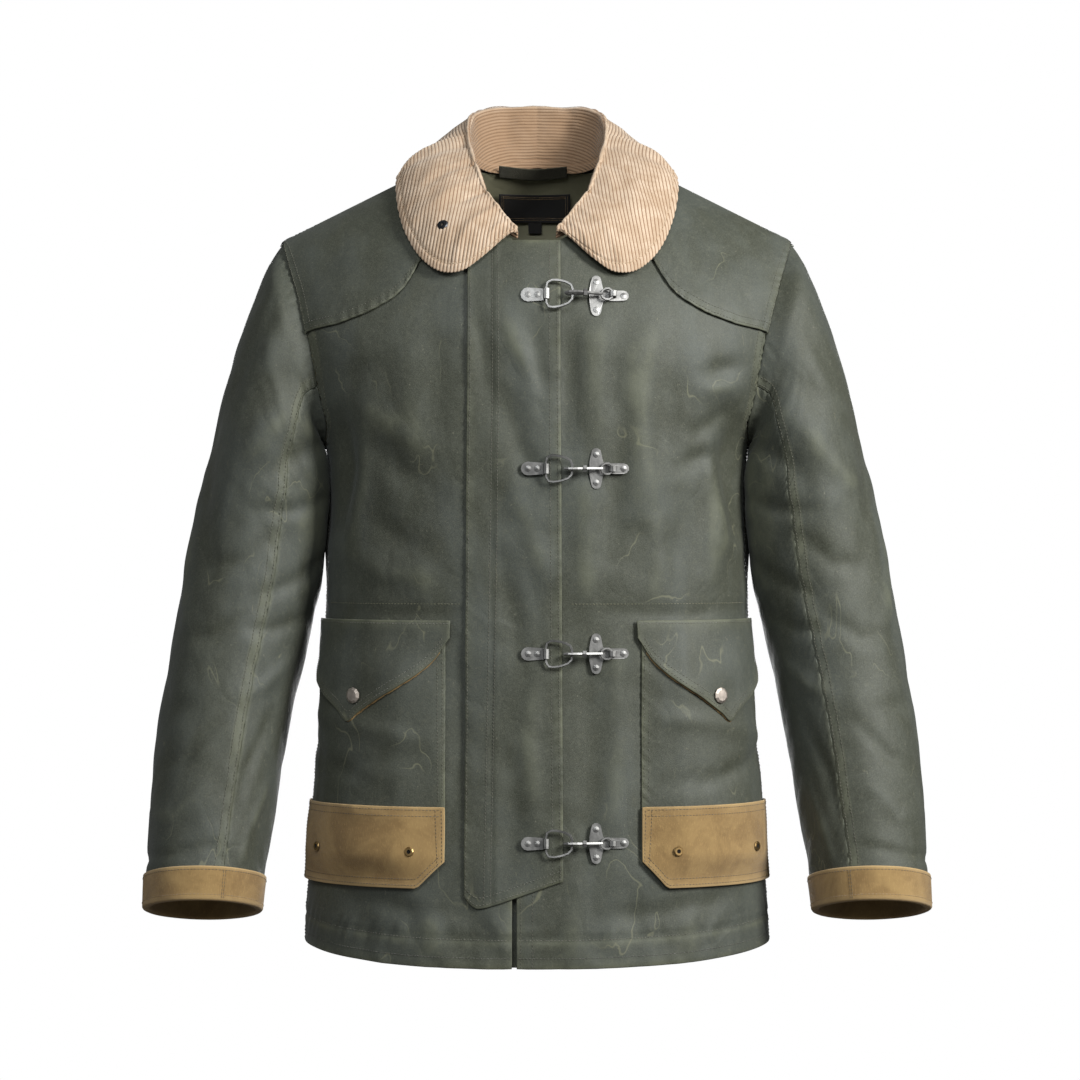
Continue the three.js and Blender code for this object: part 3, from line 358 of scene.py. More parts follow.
FRONT_FOLDS = [
    ([(-184, -200), (-180, -245), (-188, -300)], 12, -9.0),
    ([(-160, -196), (-163, -250), (-172, -310)], 10, 3.3),
    ([(186, -205), (181, -240), (188, -300)], 12, -9.0),
    ([(160, -204), (163, -250), (172, -315)], 10, 3.1),
    ([(150, -214), (166, -203), (182, -190)], 8, -4.1),
    ([(136, -246), (150, -238), (164, -232)], 8, -3.5),
    ([(160, -158), (176, -154), (190, -150)], 9, -3.6),
    ([(158, -176), (172, -172), (188, -170)], 8, 2.5),
    ([(-150, -226), (-128, -250), (-100, -262)], 12, -2.9),
    ([(-158, -190), (-130, -214), (-94, -226)], 13, 2.3),
    ([(-156, -150), (-172, -158), (-186, -166)], 9, -2.5),
    ([(33, -110), (30, -160), (28, -226)], 10, -4.1),
    ([(58, -110), (52, -170), (56, -236)], 13, 2.3),
    ([(104, -98), (94, -170), (96, -230), (101, -290)], 16, 3.6),
    ([(84, -190), (74, -250), (71, -330)], 12, -3.3),
    ([(130, -130), (124, -180), (118, -236)], 14, -3.1),
    ([(176, -268), (172, -310), (166, -350)], 11, 3.3),
    ([(140, -280), (134, -330), (138, -372)], 12, -3.3),
    ([(110, -300), (112, -340), (108, -380)], 11, 2.3),
    ([(46, -268), (44, -330), (48, -384)], 11, 2.7),
    ([(-98, -108), (-92, -160), (-96, -214)], 16, -2.5),
    ([(-120, -130), (-118, -190), (-112, -236)], 14, 2.1),
    ([(-56, -96), (-50, -140), (-44, -190)], 9, -2.7),
    ([(-30, -90), (-20, -130), (-2, -178)], 9, 2.5),
    ([(-8, -86), (0, -140), (6, -190)], 10, -2.3),
    ([(-30, -180), (-16, -230), (8, -270)], 11, -2.9),
    ([(-24, -262), (-8, -300), (6, -350)], 11, 2.5),
    ([(-34, -330), (-20, -390), (-12, -440)], 11, -2.5),
    ([(0, -430), (-8, -500), (-4, -570)], 12, 2.3),
    ([(-24, -520), (-20, -570), (-26, -630)], 11, -2.3),
    ([(-150, -296), (-126, -318), (-98, -330)], 13, -2.7),
    ([(-178, -324), (-140, -346), (-96, -352)], 11, 2.1),
    ([(-110, -330), (-104, -362), (-110, -388)], 11, 2.1),
    ([(-196, -380), (-130, -386), (-72, -383)], 8, -1.9),
    ([(196, -380), (140, -386), (60, -382)], 8, -1.9),
    ([(44, -430), (50, -520), (46, -620)], 11, -2.5),
    ([(72, -410), (76, -490), (70, -590)], 11, 2.3),
    ([(-74, -410), (-71, -500), (-76, -600)], 8, -2.3),
    ([(-190, -644), (-120, -660), (-72, -664)], 10, -2.5),
    ([(190, -648), (120, -662), (60, -668)], 10, -2.5),
    ([(-112, -648), (-98, -676), (-102, -712)], 13, 2.9),
    ([(-176, -650), (-160, -676), (-164, -708)], 12, -2.9),
    ([(-66, -640), (-60, -676), (-66, -712)], 12, -2.5),
    ([(36, -644), (32, -680), (35, -716)], 12, 2.9),
    ([(88, -650), (94, -682), (90, -714)], 13, -2.9),
    ([(146, -650), (140, -680), (146, -708)], 12, 2.9),
    ([(-204, -430), (-200, -520), (-206, -640)], 8, -2.9),
    ([(204, -430), (201, -540), (208, -640)], 8, -2.9),
    ([(-128, -668), (-121, -684), (-124, -700)], 5, 1.6),
    ([(-86, -674), (-78, -688), (-80, -702)], 5, -1.5),
    ([(-46, -660), (-34, -676), (-30, -694)], 6, 1.8),
    ([(-24, -656), (-12, -670), (-14, -690)], 5, -1.6),
    ([(-150, -700), (-143, -712), (-146, -726)], 5, 1.3),
    ([(-100, -702), (-92, -713), (-95, -728)], 6, -1.5),
    ([(-52, -702), (-47, -714), (-50, -728)], 5, 1.3),
    ([(14, -700), (20, -713), (17, -730)], 6, -1.6),
    ([(46, -698), (54, -711), (50, -728)], 5, 1.5),
    ([(74, -668), (66, -684), (70, -698)], 5, 1.6),
    ([(118, -670), (110, -686), (114, -700)], 6, -1.6),
    ([(126, -702), (134, -714), (131, -727)], 5, 1.5),
    ([(170, -668), (162, -684), (165, -698)], 5, 1.6),
    ([(-176, -560), (-160, -572), (-134, -570)], 7, 1.3),
]
BACK_FOLDS = [
    ([(-192, -222), (-193, -300), (-193, -384)], 7, 12.0),
    ([(192, -222), (193, -300), (193, -384)], 7, 12.0),
    ([(-170, -180), (-164, -235), (-150, -290)], 13, -7.0),
    ([(168, -190), (160, -240), (148, -300)], 13, -6.5),
    ([(-140, -150), (-110, -210), (-96, -280)], 17, 2.6),
    ([(138, -160), (106, -222), (98, -296)], 16, 2.4),
    ([(-120, -30), (-60, -62), (0, -70)], 18, -2.0),
    ([(120, -34), (64, -66), (4, -72)], 17, -1.8),
    ([(-60, -100), (-40, -200), (-52, -300)], 20, -2.2),
    ([(40, -120), (52, -220), (38, -330)], 20, -2.0),
    ([(0, -140), (-6, -260), (4, -380)], 22, 2.0),
    ([(-160, -360), (-80, -386), (0, -380)], 14, -2.6),
    ([(158, -352), (84, -378), (10, -392)], 15, -2.4),
    ([(-170, -398), (-90, -420), (-16, -414)], 13, 2.0),
    ([(170, -386), (96, -410), (26, -424)], 13, 1.8),
    ([(-120, -450), (-112, -560), (-124, -690)], 22, -3.0),
    ([(-60, -470), (-52, -590), (-60, -700)], 20, 2.6),
    ([(6, -450), (0, -580), (8, -704)], 22, -2.6),
    ([(70, -470), (64, -590), (72, -700)], 20, 2.4),
    ([(130, -450), (124, -570), (134, -694)], 22, -2.8),
    ([(-186, -460), (-180, -560), (-188, -690)], 15, 2.0),
    ([(188, -470), (182, -570), (190, -690)], 15, 1.8),
]
# Sleeve folds run in turns about the arm (degrees, 0 outward, 90 to the front) and rows
# from the shoulder (0) to the cuff (11).
SLEEVE_FOLDS = [
    ([(152, 0.4), (156, 2.0), (160, 4.5)], 26, 10.5),
    ([(214, 0.4), (206, 2.0), (200, 4.5)], 20, 5.0),
    ([(100, 0.2), (70, 1.6), (38, 2.4)], 13, -3.5),
    ([(112, 0.9), (80, 2.4), (50, 3.4)], 12, 2.8),
    ([(60, 0.1), (44, 1.4), (20, 2.6)], 12, -2.4),
    ([(150, 0.6), (120, 1.9), (98, 2.8)], 10, -3.2),
    ([(158, 2.4), (124, 3.2), (92, 3.6)], 9, -2.8),
    ([(20, 2.6), (34, 3.9), (62, 5.0)], 12, -2.6),
    ([(4, 3.4), (20, 4.8), (52, 6.2)], 11, 2.8),
    ([(110, 4.0), (84, 4.7), (50, 4.9)], 9, -2.8),
    ([(166, 4.0), (132, 4.8), (102, 5.3)], 9, -3.0),
    ([(160, 5.3), (126, 5.8), (96, 5.9)], 8, -2.6),
    ([(104, 5.5), (74, 6.1), (36, 6.0)], 9, -2.8),
    ([(150, 6.3), (128, 6.9), (108, 7.1)], 8, 2.2),
    ([(10, 6.6), (36, 7.2), (76, 7.4)], 10, -2.4),
    ([(92, 7.6), (64, 8.2), (30, 8.3)], 8, -2.8),
    ([(140, 7.4), (124, 8.4), (118, 9.4)], 7, -2.6),
    ([(150, 8.6), (138, 9.4), (132, 10.2)], 6, 2.2),
    ([(86, 8.8), (60, 9.3), (20, 9.1)], 9, 1.9),
    ([(100, 9.9), (60, 10.05), (-10, 9.95)], 6, -2.4),
    ([(-80, 0.8), (-60, 2.2), (-30, 3.2)], 12, -3.0),
    ([(-120, 1.2), (-96, 2.6), (-70, 3.8)], 12, 2.6),
    ([(-150, 3.6), (-110, 4.6), (-60, 5.0)], 10, -3.2),
    ([(-40, 4.6), (-70, 5.6), (-120, 6.0)], 11, 2.4),
    ([(-170, 5.4), (-130, 6.2), (-80, 6.4)], 9, -3.0),
    ([(-20, 6.9), (-60, 7.6), (-100, 7.6)], 10, -2.2),
    ([(-150, 8.0), (-110, 8.6), (-70, 9.2)], 9, -2.4),
    ([(-120, 9.9), (-70, 10.05), (-20, 9.95)], 6, -2.2),
]


def fold_field(x, z, folds, scale=(1, 1)):
    """Height of the folds over the cloth at each point, in millimetres."""
    x, z = np.broadcast_arrays(x, z)
    total = np.zeros(x.shape)
    for path, width, height in folds:
        best = np.full(np.shape(x), 1e9)
        taper = np.zeros(np.shape(x))
        points = np.array(path, float) * scale
        lengths = np.linalg.norm(np.diff(points, axis=0), axis=1)
        ends = np.concatenate([[0], np.cumsum(lengths)]) / lengths.sum()
        for k in range(len(points) - 1):
            ax, az = points[k]
            dx, dz = points[k + 1] - points[k]
            t = np.clip(((x - ax) * dx + (z - az) * dz) / (dx * dx + dz * dz), 0, 1)
            gap = np.hypot(x - ax - t * dx, z - az - t * dz)
            near = gap < best
            best = np.where(near, gap, best)
            taper = np.where(near, lerp(ends[k], ends[k + 1], t), taper)
        fade = np.sin(PI * np.clip(0.12 + 0.76 * taper, 0, 1)) ** 0.8
        total += height * fade * np.exp(-((best / width) ** 2))
    return total


def ripple(x, z, sizes, seed=0.0):
    """A gentle unevenness made of a few crossing waves."""
    x, z = np.broadcast_arrays(x, z)
    total = np.zeros(x.shape)
    for i, (length, height) in enumerate(sizes):
        for j in range(3):
            turn = 2.1 * j + 0.83 * i + seed
            kx, kz = math.cos(turn) * 2 * PI / length, math.sin(turn) * 2 * PI / length
            wave = kx * x + kz * z + 1.7 * j + seed * 3
            total += height / 3 * np.sin(wave + 1.4 * np.sin(0.37 * wave + seed + j))
    return total


def body_folds(x, z, side):
    """How far the body cloth stands off its plain form, the same for every layer on it."""
    folds = FRONT_FOLDS if side > 0 else BACK_FOLDS
    lift = fold_field(x, z, folds)
    lift = lift + ripple(x, z, [(95, 0.9), (47, 0.45)], 0.4 if side > 0 else 1.9)
    away_from_neck = ease(8, 60, np.hypot(x, z - (-10 if side > 0 else 40)) - 70)
    away_from_shoulder = ease(4, 34, shoulder_z(x) - z)
    return lift * away_from_neck * away_from_shoulder


def puckers(distance, along, reach, pitch, height, seed=0.0):
    """Small gathers beside a seam, strongest at its stitches."""
    beat = 2 * PI * along / pitch
    wave = np.sin(beat + 1.3 * np.sin(beat * 0.31 + seed) + seed)
    return height * wave * np.exp(-((distance / reach) ** 2))


# Materials


def new_material(name):
    material = bpy.data.materials.new(name)
    material.use_nodes = True
    tree = material.node_tree
    return material, tree, tree.nodes["Principled BSDF"]


def node(tree, kind, inputs=None, **settings):
    made = tree.nodes.new(kind)
    for key, value in settings.items():
        setattr(made, key, value)
    for key, value in (inputs or {}).items():
        if isinstance(value, bpy.types.NodeSocket):
            tree.links.new(value, made.inputs[key])
        else:
            made.inputs[key].default_value = value
    return made


def linear(rgb):
    return tuple(((c / 255 + 0.055) / 1.055) ** 2.4 if c > 10 else c / 255 / 12.92 for c in rgb)


def mix(tree, factor, a, b, blend="MIX"):
    made = tree.nodes.new("ShaderNodeMix")
    made.data_type = "RGBA"
    made.blend_type = blend
    for socket, value in ((made.inputs[0], factor), (made.inputs[6], a), (made.inputs[7], b)):
        if isinstance(value, bpy.types.NodeSocket):
            tree.links.new(value, socket)
        elif socket is made.inputs[0]:
            socket.default_value = value
        else:
            socket.default_value = (*value, 1)
    return made.outputs[2]


def sum_of(tree, kind, a, b=0.0, c=0.0):
    made = tree.nodes.new("ShaderNodeMath")
    made.operation = kind
    for socket, value in zip(made.inputs, (a, b, c)):
        if isinstance(value, bpy.types.NodeSocket):
            tree.links.new(value, socket)
        else:
            socket.default_value = value
    return made.outputs[0]


def band(tree, value, low, high, smooth_step=True):
    made = tree.nodes.new("ShaderNodeMapRange")
    made.interpolation_type = "SMOOTHSTEP" if smooth_step else "LINEAR"
    tree.links.new(value, made.inputs["Value"])
    made.inputs["From Min"].default_value = low
    made.inputs["From Max"].default_value = high
    return made.outputs["Result"]


def noise(tree, where, scale, detail=4.0, rough=0.6, distort=0.0):
    made = node(
        tree,
        "ShaderNodeTexNoise",
        {"Vector": where, "Scale": scale, "Detail": detail, "Roughness": rough, "Distortion": distort},
    )
    return made.outputs[0]


def stretched(tree, where, scale):
    made = node(tree, "ShaderNodeMapping", {"Vector": where, "Scale": scale})
    return made.outputs[0]


def waxed_cotton():
    """Dark olive cotton, waxed: soft bluish sheen patches, pale rubbed spots, paler edges."""
    material, tree, shader = new_material("waxed cotton")
    place = tree.nodes.new("ShaderNodeTexCoord").outputs["Object"]
    uv = tree.nodes.new("ShaderNodeUVMap").outputs[0]
    wear = node(tree, "ShaderNodeAttribute", attribute_name="wear").outputs["Fac"]
    height = node(tree, "ShaderNodeAttribute", attribute_name="lift").outputs["Fac"]
    tall = stretched(tree, place, (1.0, 1.0, 0.45))
    broad = noise(tree, tall, 11.0, 3.0, 0.5, 0.5)
    patch = noise(tree, stretched(tree, place, (1, 1, 0.6)), 42.0, 5.0, 0.6, 0.15)
    speck = noise(tree, place, 260.0, 3.0, 0.6)
    # painted sheen and shade: the bluish grey stands in for the wax's sheen. It is laid in broad random
    # patches and also by fold height, so fold crests are painted greyer and lighter and troughs darker
    # olive.
    olive, sheen_grey = linear((46, 48, 36)), linear((57, 61, 56))
    share = sum_of(tree, "MULTIPLY_ADD", height, 0.11, band(tree, broad, 0.38, 0.64))
    base = mix(tree, band(tree, share, -0.25, 1.25), olive, sheen_grey)
    # painted highlight: pale bluish patches, laid at random, stand in for the sheen off the wax
    base = mix(tree, sum_of(tree, "MULTIPLY", band(tree, patch, 0.48, 0.68), 0.24), base,
               linear((77, 81, 74)))
    base = mix(tree, sum_of(tree, "MULTIPLY", band(tree, speck, 0.5, 0.75), 0.3), base,
               linear((86, 86, 72)))
    # short rubbed marks, few and pale
    mark = noise(tree, stretched(tree, place, (1.0, 1.0, 0.4)), 95.0, 3.0, 0.75, 2.2)
    rubbed = sum_of(tree, "MULTIPLY", band(tree, mark, 0.66, 0.76), 0.30)
    base = mix(tree, rubbed, base, linear((128, 124, 98)))
    # thin pale creases where the wax has cracked
    bend = noise(tree, stretched(tree, place, (1.0, 1.0, 0.7)), 20.0, 2.5, 0.5, 0.5)
    off_line = sum_of(tree, "ABSOLUTE", sum_of(tree, "SUBTRACT", bend, 0.5))
    line = sum_of(tree, "SUBTRACT", 1.0, band(tree, off_line, 0.001, 0.008))
    where = band(tree, noise(tree, place, 13.0, 2.0, 0.5), 0.54, 0.64)
    crease = sum_of(tree, "MULTIPLY", line, where)
    base = mix(tree, sum_of(tree, "MULTIPLY", crease, 0.42), base, linear((122, 121, 96)))
    fleck = noise(tree, place, 900.0, 2.0, 0.7)
    base = mix(tree, sum_of(tree, "MULTIPLY", band(tree, fleck, 0.35, 0.7), 0.34), base,
               linear((92, 95, 82)))
    dust = noise(tree, place, 520.0, 1.0, 0.5)
    base = mix(tree, sum_of(tree, "MULTIPLY", band(tree, dust, 0.75, 0.8), 0.25), base,
               linear((150, 146, 128)))
    worn = sum_of(tree, "MULTIPLY", wear, sum_of(tree, "ADD", 0.25, band(tree, patch, 0.3, 0.7)))
    base = mix(tree, sum_of(tree, "MULTIPLY", worn, 0.6), base, linear((99, 101, 80)))
    # the cloth's wrong side has no wax bloom and is a lighter, plainer olive
    lining = node(tree, "ShaderNodeAttribute", attribute_name="lining").outputs["Fac"]
    base = mix(tree, lining, base, linear((124, 122, 98)))
    tree.links.new(base, shader.inputs["Base Color"])
    rough = sum_of(tree, "MULTIPLY_ADD", patch, 0.18, 0.45)
    rough = sum_of(tree, "MULTIPLY_ADD", speck, 0.12, rough)
    tree.links.new(rough, shader.inputs["Roughness"])
    shader.inputs["Specular IOR Level"].default_value = 0.5
    shader.inputs["Specular Tint"].default_value = (0.95, 0.99, 0.98, 1)
    shader.inputs["Sheen Weight"].default_value = 0.07
    shader.inputs["Sheen Roughness"].default_value = 0.45
    shader.inputs["Sheen Tint"].default_value = (0.9, 0.96, 0.98, 1)
    dent = noise(tree, stretched(tree, place, (1, 1, 0.7)), 44.0, 3.0, 0.5, 0.1)
    ridge = band(tree, off_line, 0.0, 0.12, False)
    dent = sum_of(tree, "MULTIPLY_ADD", ridge, 0.35, dent)
    bump = node(tree, "ShaderNodeBump", {"Height": dent, "Strength": 0.26, "Distance": 0.003})
    weave = noise(tree, stretched(tree, uv, (1.0, 1.0, 1.0)), 1100.0, 2.0, 0.7)
    fine = node(
        tree,
        "ShaderNodeBump",
        {"Height": weave, "Strength": 0.6, "Distance": 0.0004, "Normal": bump.outputs[0]},
    )
    tree.links.new(fine.outputs[0], shader.inputs["Normal"])
    return material


def plain_cloth(name, dark, light, rough, weave_size, weave_depth, sheen=0.1, worn=None):
    """A woven cloth of two near colours with a cross weave in its bump."""
    material, tree, shader = new_material(name)
    place = tree.nodes.new("ShaderNodeTexCoord").outputs["Object"]
    uv = tree.nodes.new("ShaderNodeUVMap").outputs[0]
    wear = node(tree, "ShaderNodeAttribute", attribute_name="wear").outputs["Fac"]
    patch = noise(tree, place, 26.0, 5.0, 0.65, 0.5)
    base = mix(tree, band(tree, patch, 0.34, 0.68), linear(dark), linear(light))
    fleck = noise(tree, stretched(tree, uv, (1, 0.3, 1)), 700.0, 2.0, 0.6)
    base = mix(tree, sum_of(tree, "MULTIPLY", band(tree, fleck, 0.5, 0.75), 0.3), base,
               tuple(min(1, c * 1.5) for c in linear(light)))
    if worn:
        share = sum_of(tree, "MULTIPLY", wear, 0.6)
        base = mix(tree, share, base, linear(worn))
    tree.links.new(base, shader.inputs["Base Color"])
    tree.links.new(sum_of(tree, "MULTIPLY_ADD", patch, 0.16, rough), shader.inputs["Roughness"])
    shader.inputs["Specular IOR Level"].default_value = 0.25
    shader.inputs["Sheen Weight"].default_value = sheen
    shader.inputs["Sheen Roughness"].default_value = 0.5
    split = node(tree, "ShaderNodeSeparateXYZ", {0: uv})
    per_metre = 2 * PI / weave_size
    warp = sum_of(tree, "SINE", sum_of(tree, "MULTIPLY", split.outputs[0], per_metre))
    weft = sum_of(tree, "SINE", sum_of(tree, "MULTIPLY", split.outputs[1], per_metre))
    cross = sum_of(tree, "MULTIPLY", warp, weft)
    height = sum_of(tree, "MULTIPLY_ADD", patch, 1.5, cross)
    bump = node(tree, "ShaderNodeBump",
                {"Height": height, "Strength": 0.6, "Distance": weave_depth})
    tree.links.new(bump.outputs[0], shader.inputs["Normal"])
    return material


def corduroy():
    """Cotton cord: pale on the ribs, with painted shade making the grooves darker and browner, and
    painted shade on the stand.
    """
    material, tree, shader = new_material("corduroy")
    place = tree.nodes.new("ShaderNodeTexCoord").outputs["Object"]
    phases = {}
    for label in ("fall_turn", "stand_turn", "over"):
        phases[label] = node(tree, "ShaderNodeAttribute", attribute_name=label).outputs["Fac"]
    fall = sum_of(tree, "COSINE", phases["fall_turn"])
    stand_wave = sum_of(tree, "COSINE", phases["stand_turn"])
    wave = sum_of(tree, "MULTIPLY_ADD", sum_of(tree, "SUBTRACT", fall, stand_wave),
                  phases["over"], stand_wave)
    rib = sum_of(tree, "POWER", sum_of(tree, "MULTIPLY_ADD", wave, 0.499, 0.5), 0.5)
    groove = sum_of(tree, "SUBTRACT", 1.0, rib)
    wear = node(tree, "ShaderNodeAttribute", attribute_name="wear").outputs["Fac"]
    patch = noise(tree, place, 38.0, 5.0, 0.65, 0.3)
    nap = noise(tree, place, 620.0, 3.0, 0.7)
    base = mix(tree, band(tree, patch, 0.35, 0.68), linear((171, 150, 127)), linear((193, 175, 154)))
    base = mix(tree, sum_of(tree, "MULTIPLY", band(tree, nap, 0.42, 0.7), 0.25), base,
               linear((178, 150, 124)))
    # painted shade: the grooves between the ribs are darkened in the colour
    base = mix(tree, band(tree, groove, 0.25, 1.0), base, linear((118, 88, 66)))
    base = mix(tree, sum_of(tree, "MULTIPLY", wear, 0.25), base, linear((176, 148, 122)))
    # painted shade: the stand, under the fall and against the neck, is painted darker and browner
    stand = node(tree, "ShaderNodeAttribute", attribute_name="stand").outputs["Fac"]
    base = mix(tree, sum_of(tree, "MULTIPLY", stand, 0.8), base, linear((138, 110, 84)))
    tree.links.new(base, shader.inputs["Base Color"])
    shader.inputs["Roughness"].default_value = 0.9
    shader.inputs["Specular IOR Level"].default_value = 0.12
    shader.inputs["Sheen Weight"].default_value = 0.35
    shader.inputs["Sheen Roughness"].default_value = 0.4
    shader.inputs["Sheen Tint"].default_value = (1, 0.93, 0.84, 1)
    flat = node(tree, "ShaderNodeAttribute", attribute_name="flat").outputs["Fac"]
    raised = sum_of(tree, "MULTIPLY", rib, flat)
    ribs = node(tree, "ShaderNodeBump", {"Height": raised, "Strength": 0.9, "Distance": 0.001})
    bump = node(tree, "ShaderNodeBump", {"Height": nap, "Strength": 0.5, "Distance": 0.0006,
                                         "Normal": ribs.outputs[0]})
    tree.links.new(bump.outputs[0], shader.inputs["Normal"])
    return material


def metal(name, rgb, rough, scratch):
    material, tree, shader = new_material(name)
    place = tree.nodes.new("ShaderNodeTexCoord").outputs["Object"]
    patch = noise(tree, place, 90.0, 4.0, 0.6)
    fine = noise(tree, stretched(tree, place, (1, 1, 0.12)), 900.0, 2.0, 0.6)
    dark = tuple(c * 0.62 for c in linear(rgb))
    base = mix(tree, band(tree, patch, 0.35, 0.7), dark, linear(rgb))
    tree.links.new(base, shader.inputs["Base Color"])
    shader.inputs["Metallic"].default_value = 1.0
    value = sum_of(tree, "MULTIPLY_ADD", patch, 0.2, rough)
    tree.links.new(value, shader.inputs["Roughness"])
    bump = node(tree, "ShaderNodeBump", {"Height": fine, "Strength": 0.4, "Distance": scratch})
    tree.links.new(bump.outputs[0], shader.inputs["Normal"])
    return material


def thread(name, rgb):
    material, tree, shader = new_material(name)
    place = tree.nodes.new("ShaderNodeTexCoord").outputs["Object"]
    patch = noise(tree, place, 160.0, 2.0, 0.6)
    dark = tuple(c * 0.6 for c in linear(rgb))
    tree.links.new(
        mix(tree, band(tree, patch, 0.3, 0.7), dark, linear(rgb)), shader.inputs["Base Color"]
    )
    shader.inputs["Roughness"].default_value = 0.7
    shader.inputs["Sheen Weight"].default_value = 0.2
    return material


WAXED = waxed_cotton()
TAN = plain_cloth("tan canvas", (130, 104, 65), (155, 128, 83), 0.72, 0.0011, 0.0004, 0.15,
                  (180, 154, 110))
INSIDE = plain_cloth("inside cotton", (52, 51, 40), (66, 64, 51), 0.8, 0.0013, 0.0004, 0.1)
LABEL = plain_cloth("label", (22, 21, 20), (32, 30, 28), 0.6, 0.0006, 0.0002, 0.2)
CORD = corduroy()
STEEL = metal("bright steel", (158, 158, 156), 0.4, 0.0002)
SNAP = metal("snap steel", (196, 186, 176), 0.44, 0.0002)
BRASS = metal("aged brass", (176, 146, 98), 0.34, 0.0002)
GUNMETAL = metal("dark steel", (70, 72, 76), 0.3, 0.0002)
OLIVE_THREAD = thread("olive thread", (86, 85, 70))
DARK_THREAD = thread("dark thread", (66, 65, 54))
TAN_THREAD = thread("tan thread", (150, 124, 84))
BROWN_THREAD = thread("brown thread", (84, 72, 48))
WAIST_THREAD = thread("pale olive thread", (118, 116, 88))
# painted shade: near-black cloth for the discs that stand in for the dark holes through the metal rings
HOLE_SHADE = plain_cloth("dark hole", (10, 10, 9), (18, 17, 15), 0.9, 0.001, 0.0001)
CREAM_THREAD = thread("cream thread", (206, 184, 152))


# Stitches

STITCHES = {}


def stitch_row(points, normals, material, lift=0.0, length=2.3, pitch=3.3, radius=0.34, nodes=None):
    """Puts small raised dashes of thread along a line on the cloth."""
    points = np.asarray(points, float)
    normals = unit(np.asarray(normals, float))
    steps = np.linalg.norm(np.diff(points, axis=0), axis=1)
    total = steps.sum()
    if total < pitch:
        return
    walk = np.concatenate([[0], np.cumsum(steps)])
    count = int(total / pitch)
    middles = (np.arange(count) + 0.5) * total / count

    def at(values, where):
        return np.stack([np.interp(where, walk, values[:, i]) for i in range(3)], -1)

    ends = [at(points, middles + s * length / 2) for s in (-1, -0.45, 0.45, 1)]
    up = unit(at(normals, middles))
    along = unit(ends[3] - ends[0])
    side = unit(np.cross(up, along))
    rings = []
    for k, (end, size) in enumerate(zip(ends, (0.45, 1.0, 1.0, 0.45))):
        high = lift + radius * (0.1 if k in (0, 3) else 0.62)
        middle = end + up * high
        for turn in THREAD_TURNS:
            a = math.radians(turn)
            rings.append(middle + (side * math.cos(a) + up * math.sin(a) * 0.8) * radius * size)
    verts = np.stack(rings, 1)
    STITCHES.setdefault(material.name, (material, []))[1].append(verts)


def stitches_into_meshes():
    """Joins every row of one thread into one mesh."""
    for name, (material, rows) in STITCHES.items():
        verts = np.concatenate(rows)
        faces = []
        for ring in range(3):
            for k in range(3):
                a, b = ring * 3 + k, ring * 3 + (k + 1) % 3
                faces.append((a, b, b + 3, a + 3))
        caps = [(2, 1, 0), (9, 10, 11)]
        quads = np.array(faces)
        count = len(verts)
        offset = np.arange(count)[:, None, None] * 12
        all_quads = (quads[None] + offset).reshape(-1, 4)
        all_tris = (np.array(caps)[None] + offset).reshape(-1, 3)
        mesh = bpy.data.meshes.new(name)
        mesh.from_pydata(
            (verts.reshape(-1, 3) * MM).tolist(), [], all_quads.tolist() + all_tris.tolist()
        )
        mesh.polygons.foreach_set("use_smooth", np.ones(len(mesh.polygons), bool))
        mesh.materials.append(material)
        obj = bpy.data.objects.new("stitches_" + name.replace(" ", "_"), mesh)
        bpy.context.collection.objects.link(obj)
        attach(obj, "root")


def resample(points, spacing):
    points = np.asarray(points, float)
    steps = np.linalg.norm(np.diff(points, axis=0), axis=1)
    walk = np.concatenate([[0], np.cumsum(steps)])
    where = np.linspace(0, walk[-1], max(2, int(walk[-1] / spacing) + 1))
    return np.stack([np.interp(where, walk, points[:, i]) for i in range(points.shape[1])], -1)


# The body's panels


def body_wear(grid, n, edges, reach=2.6):
    """Paler where the cloth is rubbed, along its named edges."""
    gap = edge_distance(grid, edges)
    worn = np.maximum(0.75 * np.exp(-((gap / reach) ** 2)), 0.4 * np.exp(-((gap / 7.5) ** 2)))
    return np.clip(worn, 0, 1)


def cloth_grid(grid, middle, side, extra=None):
    """Moves a body grid out by the shared folds and returns it with its outward directions."""
    n = square_at_seams(grid, normals_of(grid, middle))
    keep = ease(0.3, 14, np.abs(grid[..., 1]))
    lift = body_folds(grid[..., 0], grid[..., 2], side) * keep
    if extra is not None:
        lift = lift + extra * keep
    moved = grid + n * lift[..., None]
    return moved, n


def crest(x, z, side, reach=1.7):
    """Where folds stand high enough to be rubbed pale, from 0 to 1."""
    return np.clip((body_folds(x, z, side) - 1.0) / reach, 0, 1)


def seam_gathers(grid, edges, reach=11, pitch=10, height=0.5, seed=0.0):
    gap = edge_distance(grid, edges)
    along = np.linalg.norm(np.diff(grid, axis=0, prepend=grid[:1]), axis=-1).cumsum(0)
    across = np.linalg.norm(np.diff(grid, axis=1, prepend=grid[:, :1]), axis=-1).cumsum(1)
    where = across if edges in ("b", "t") else along
    return puckers(gap, where, reach, pitch, height, seed)


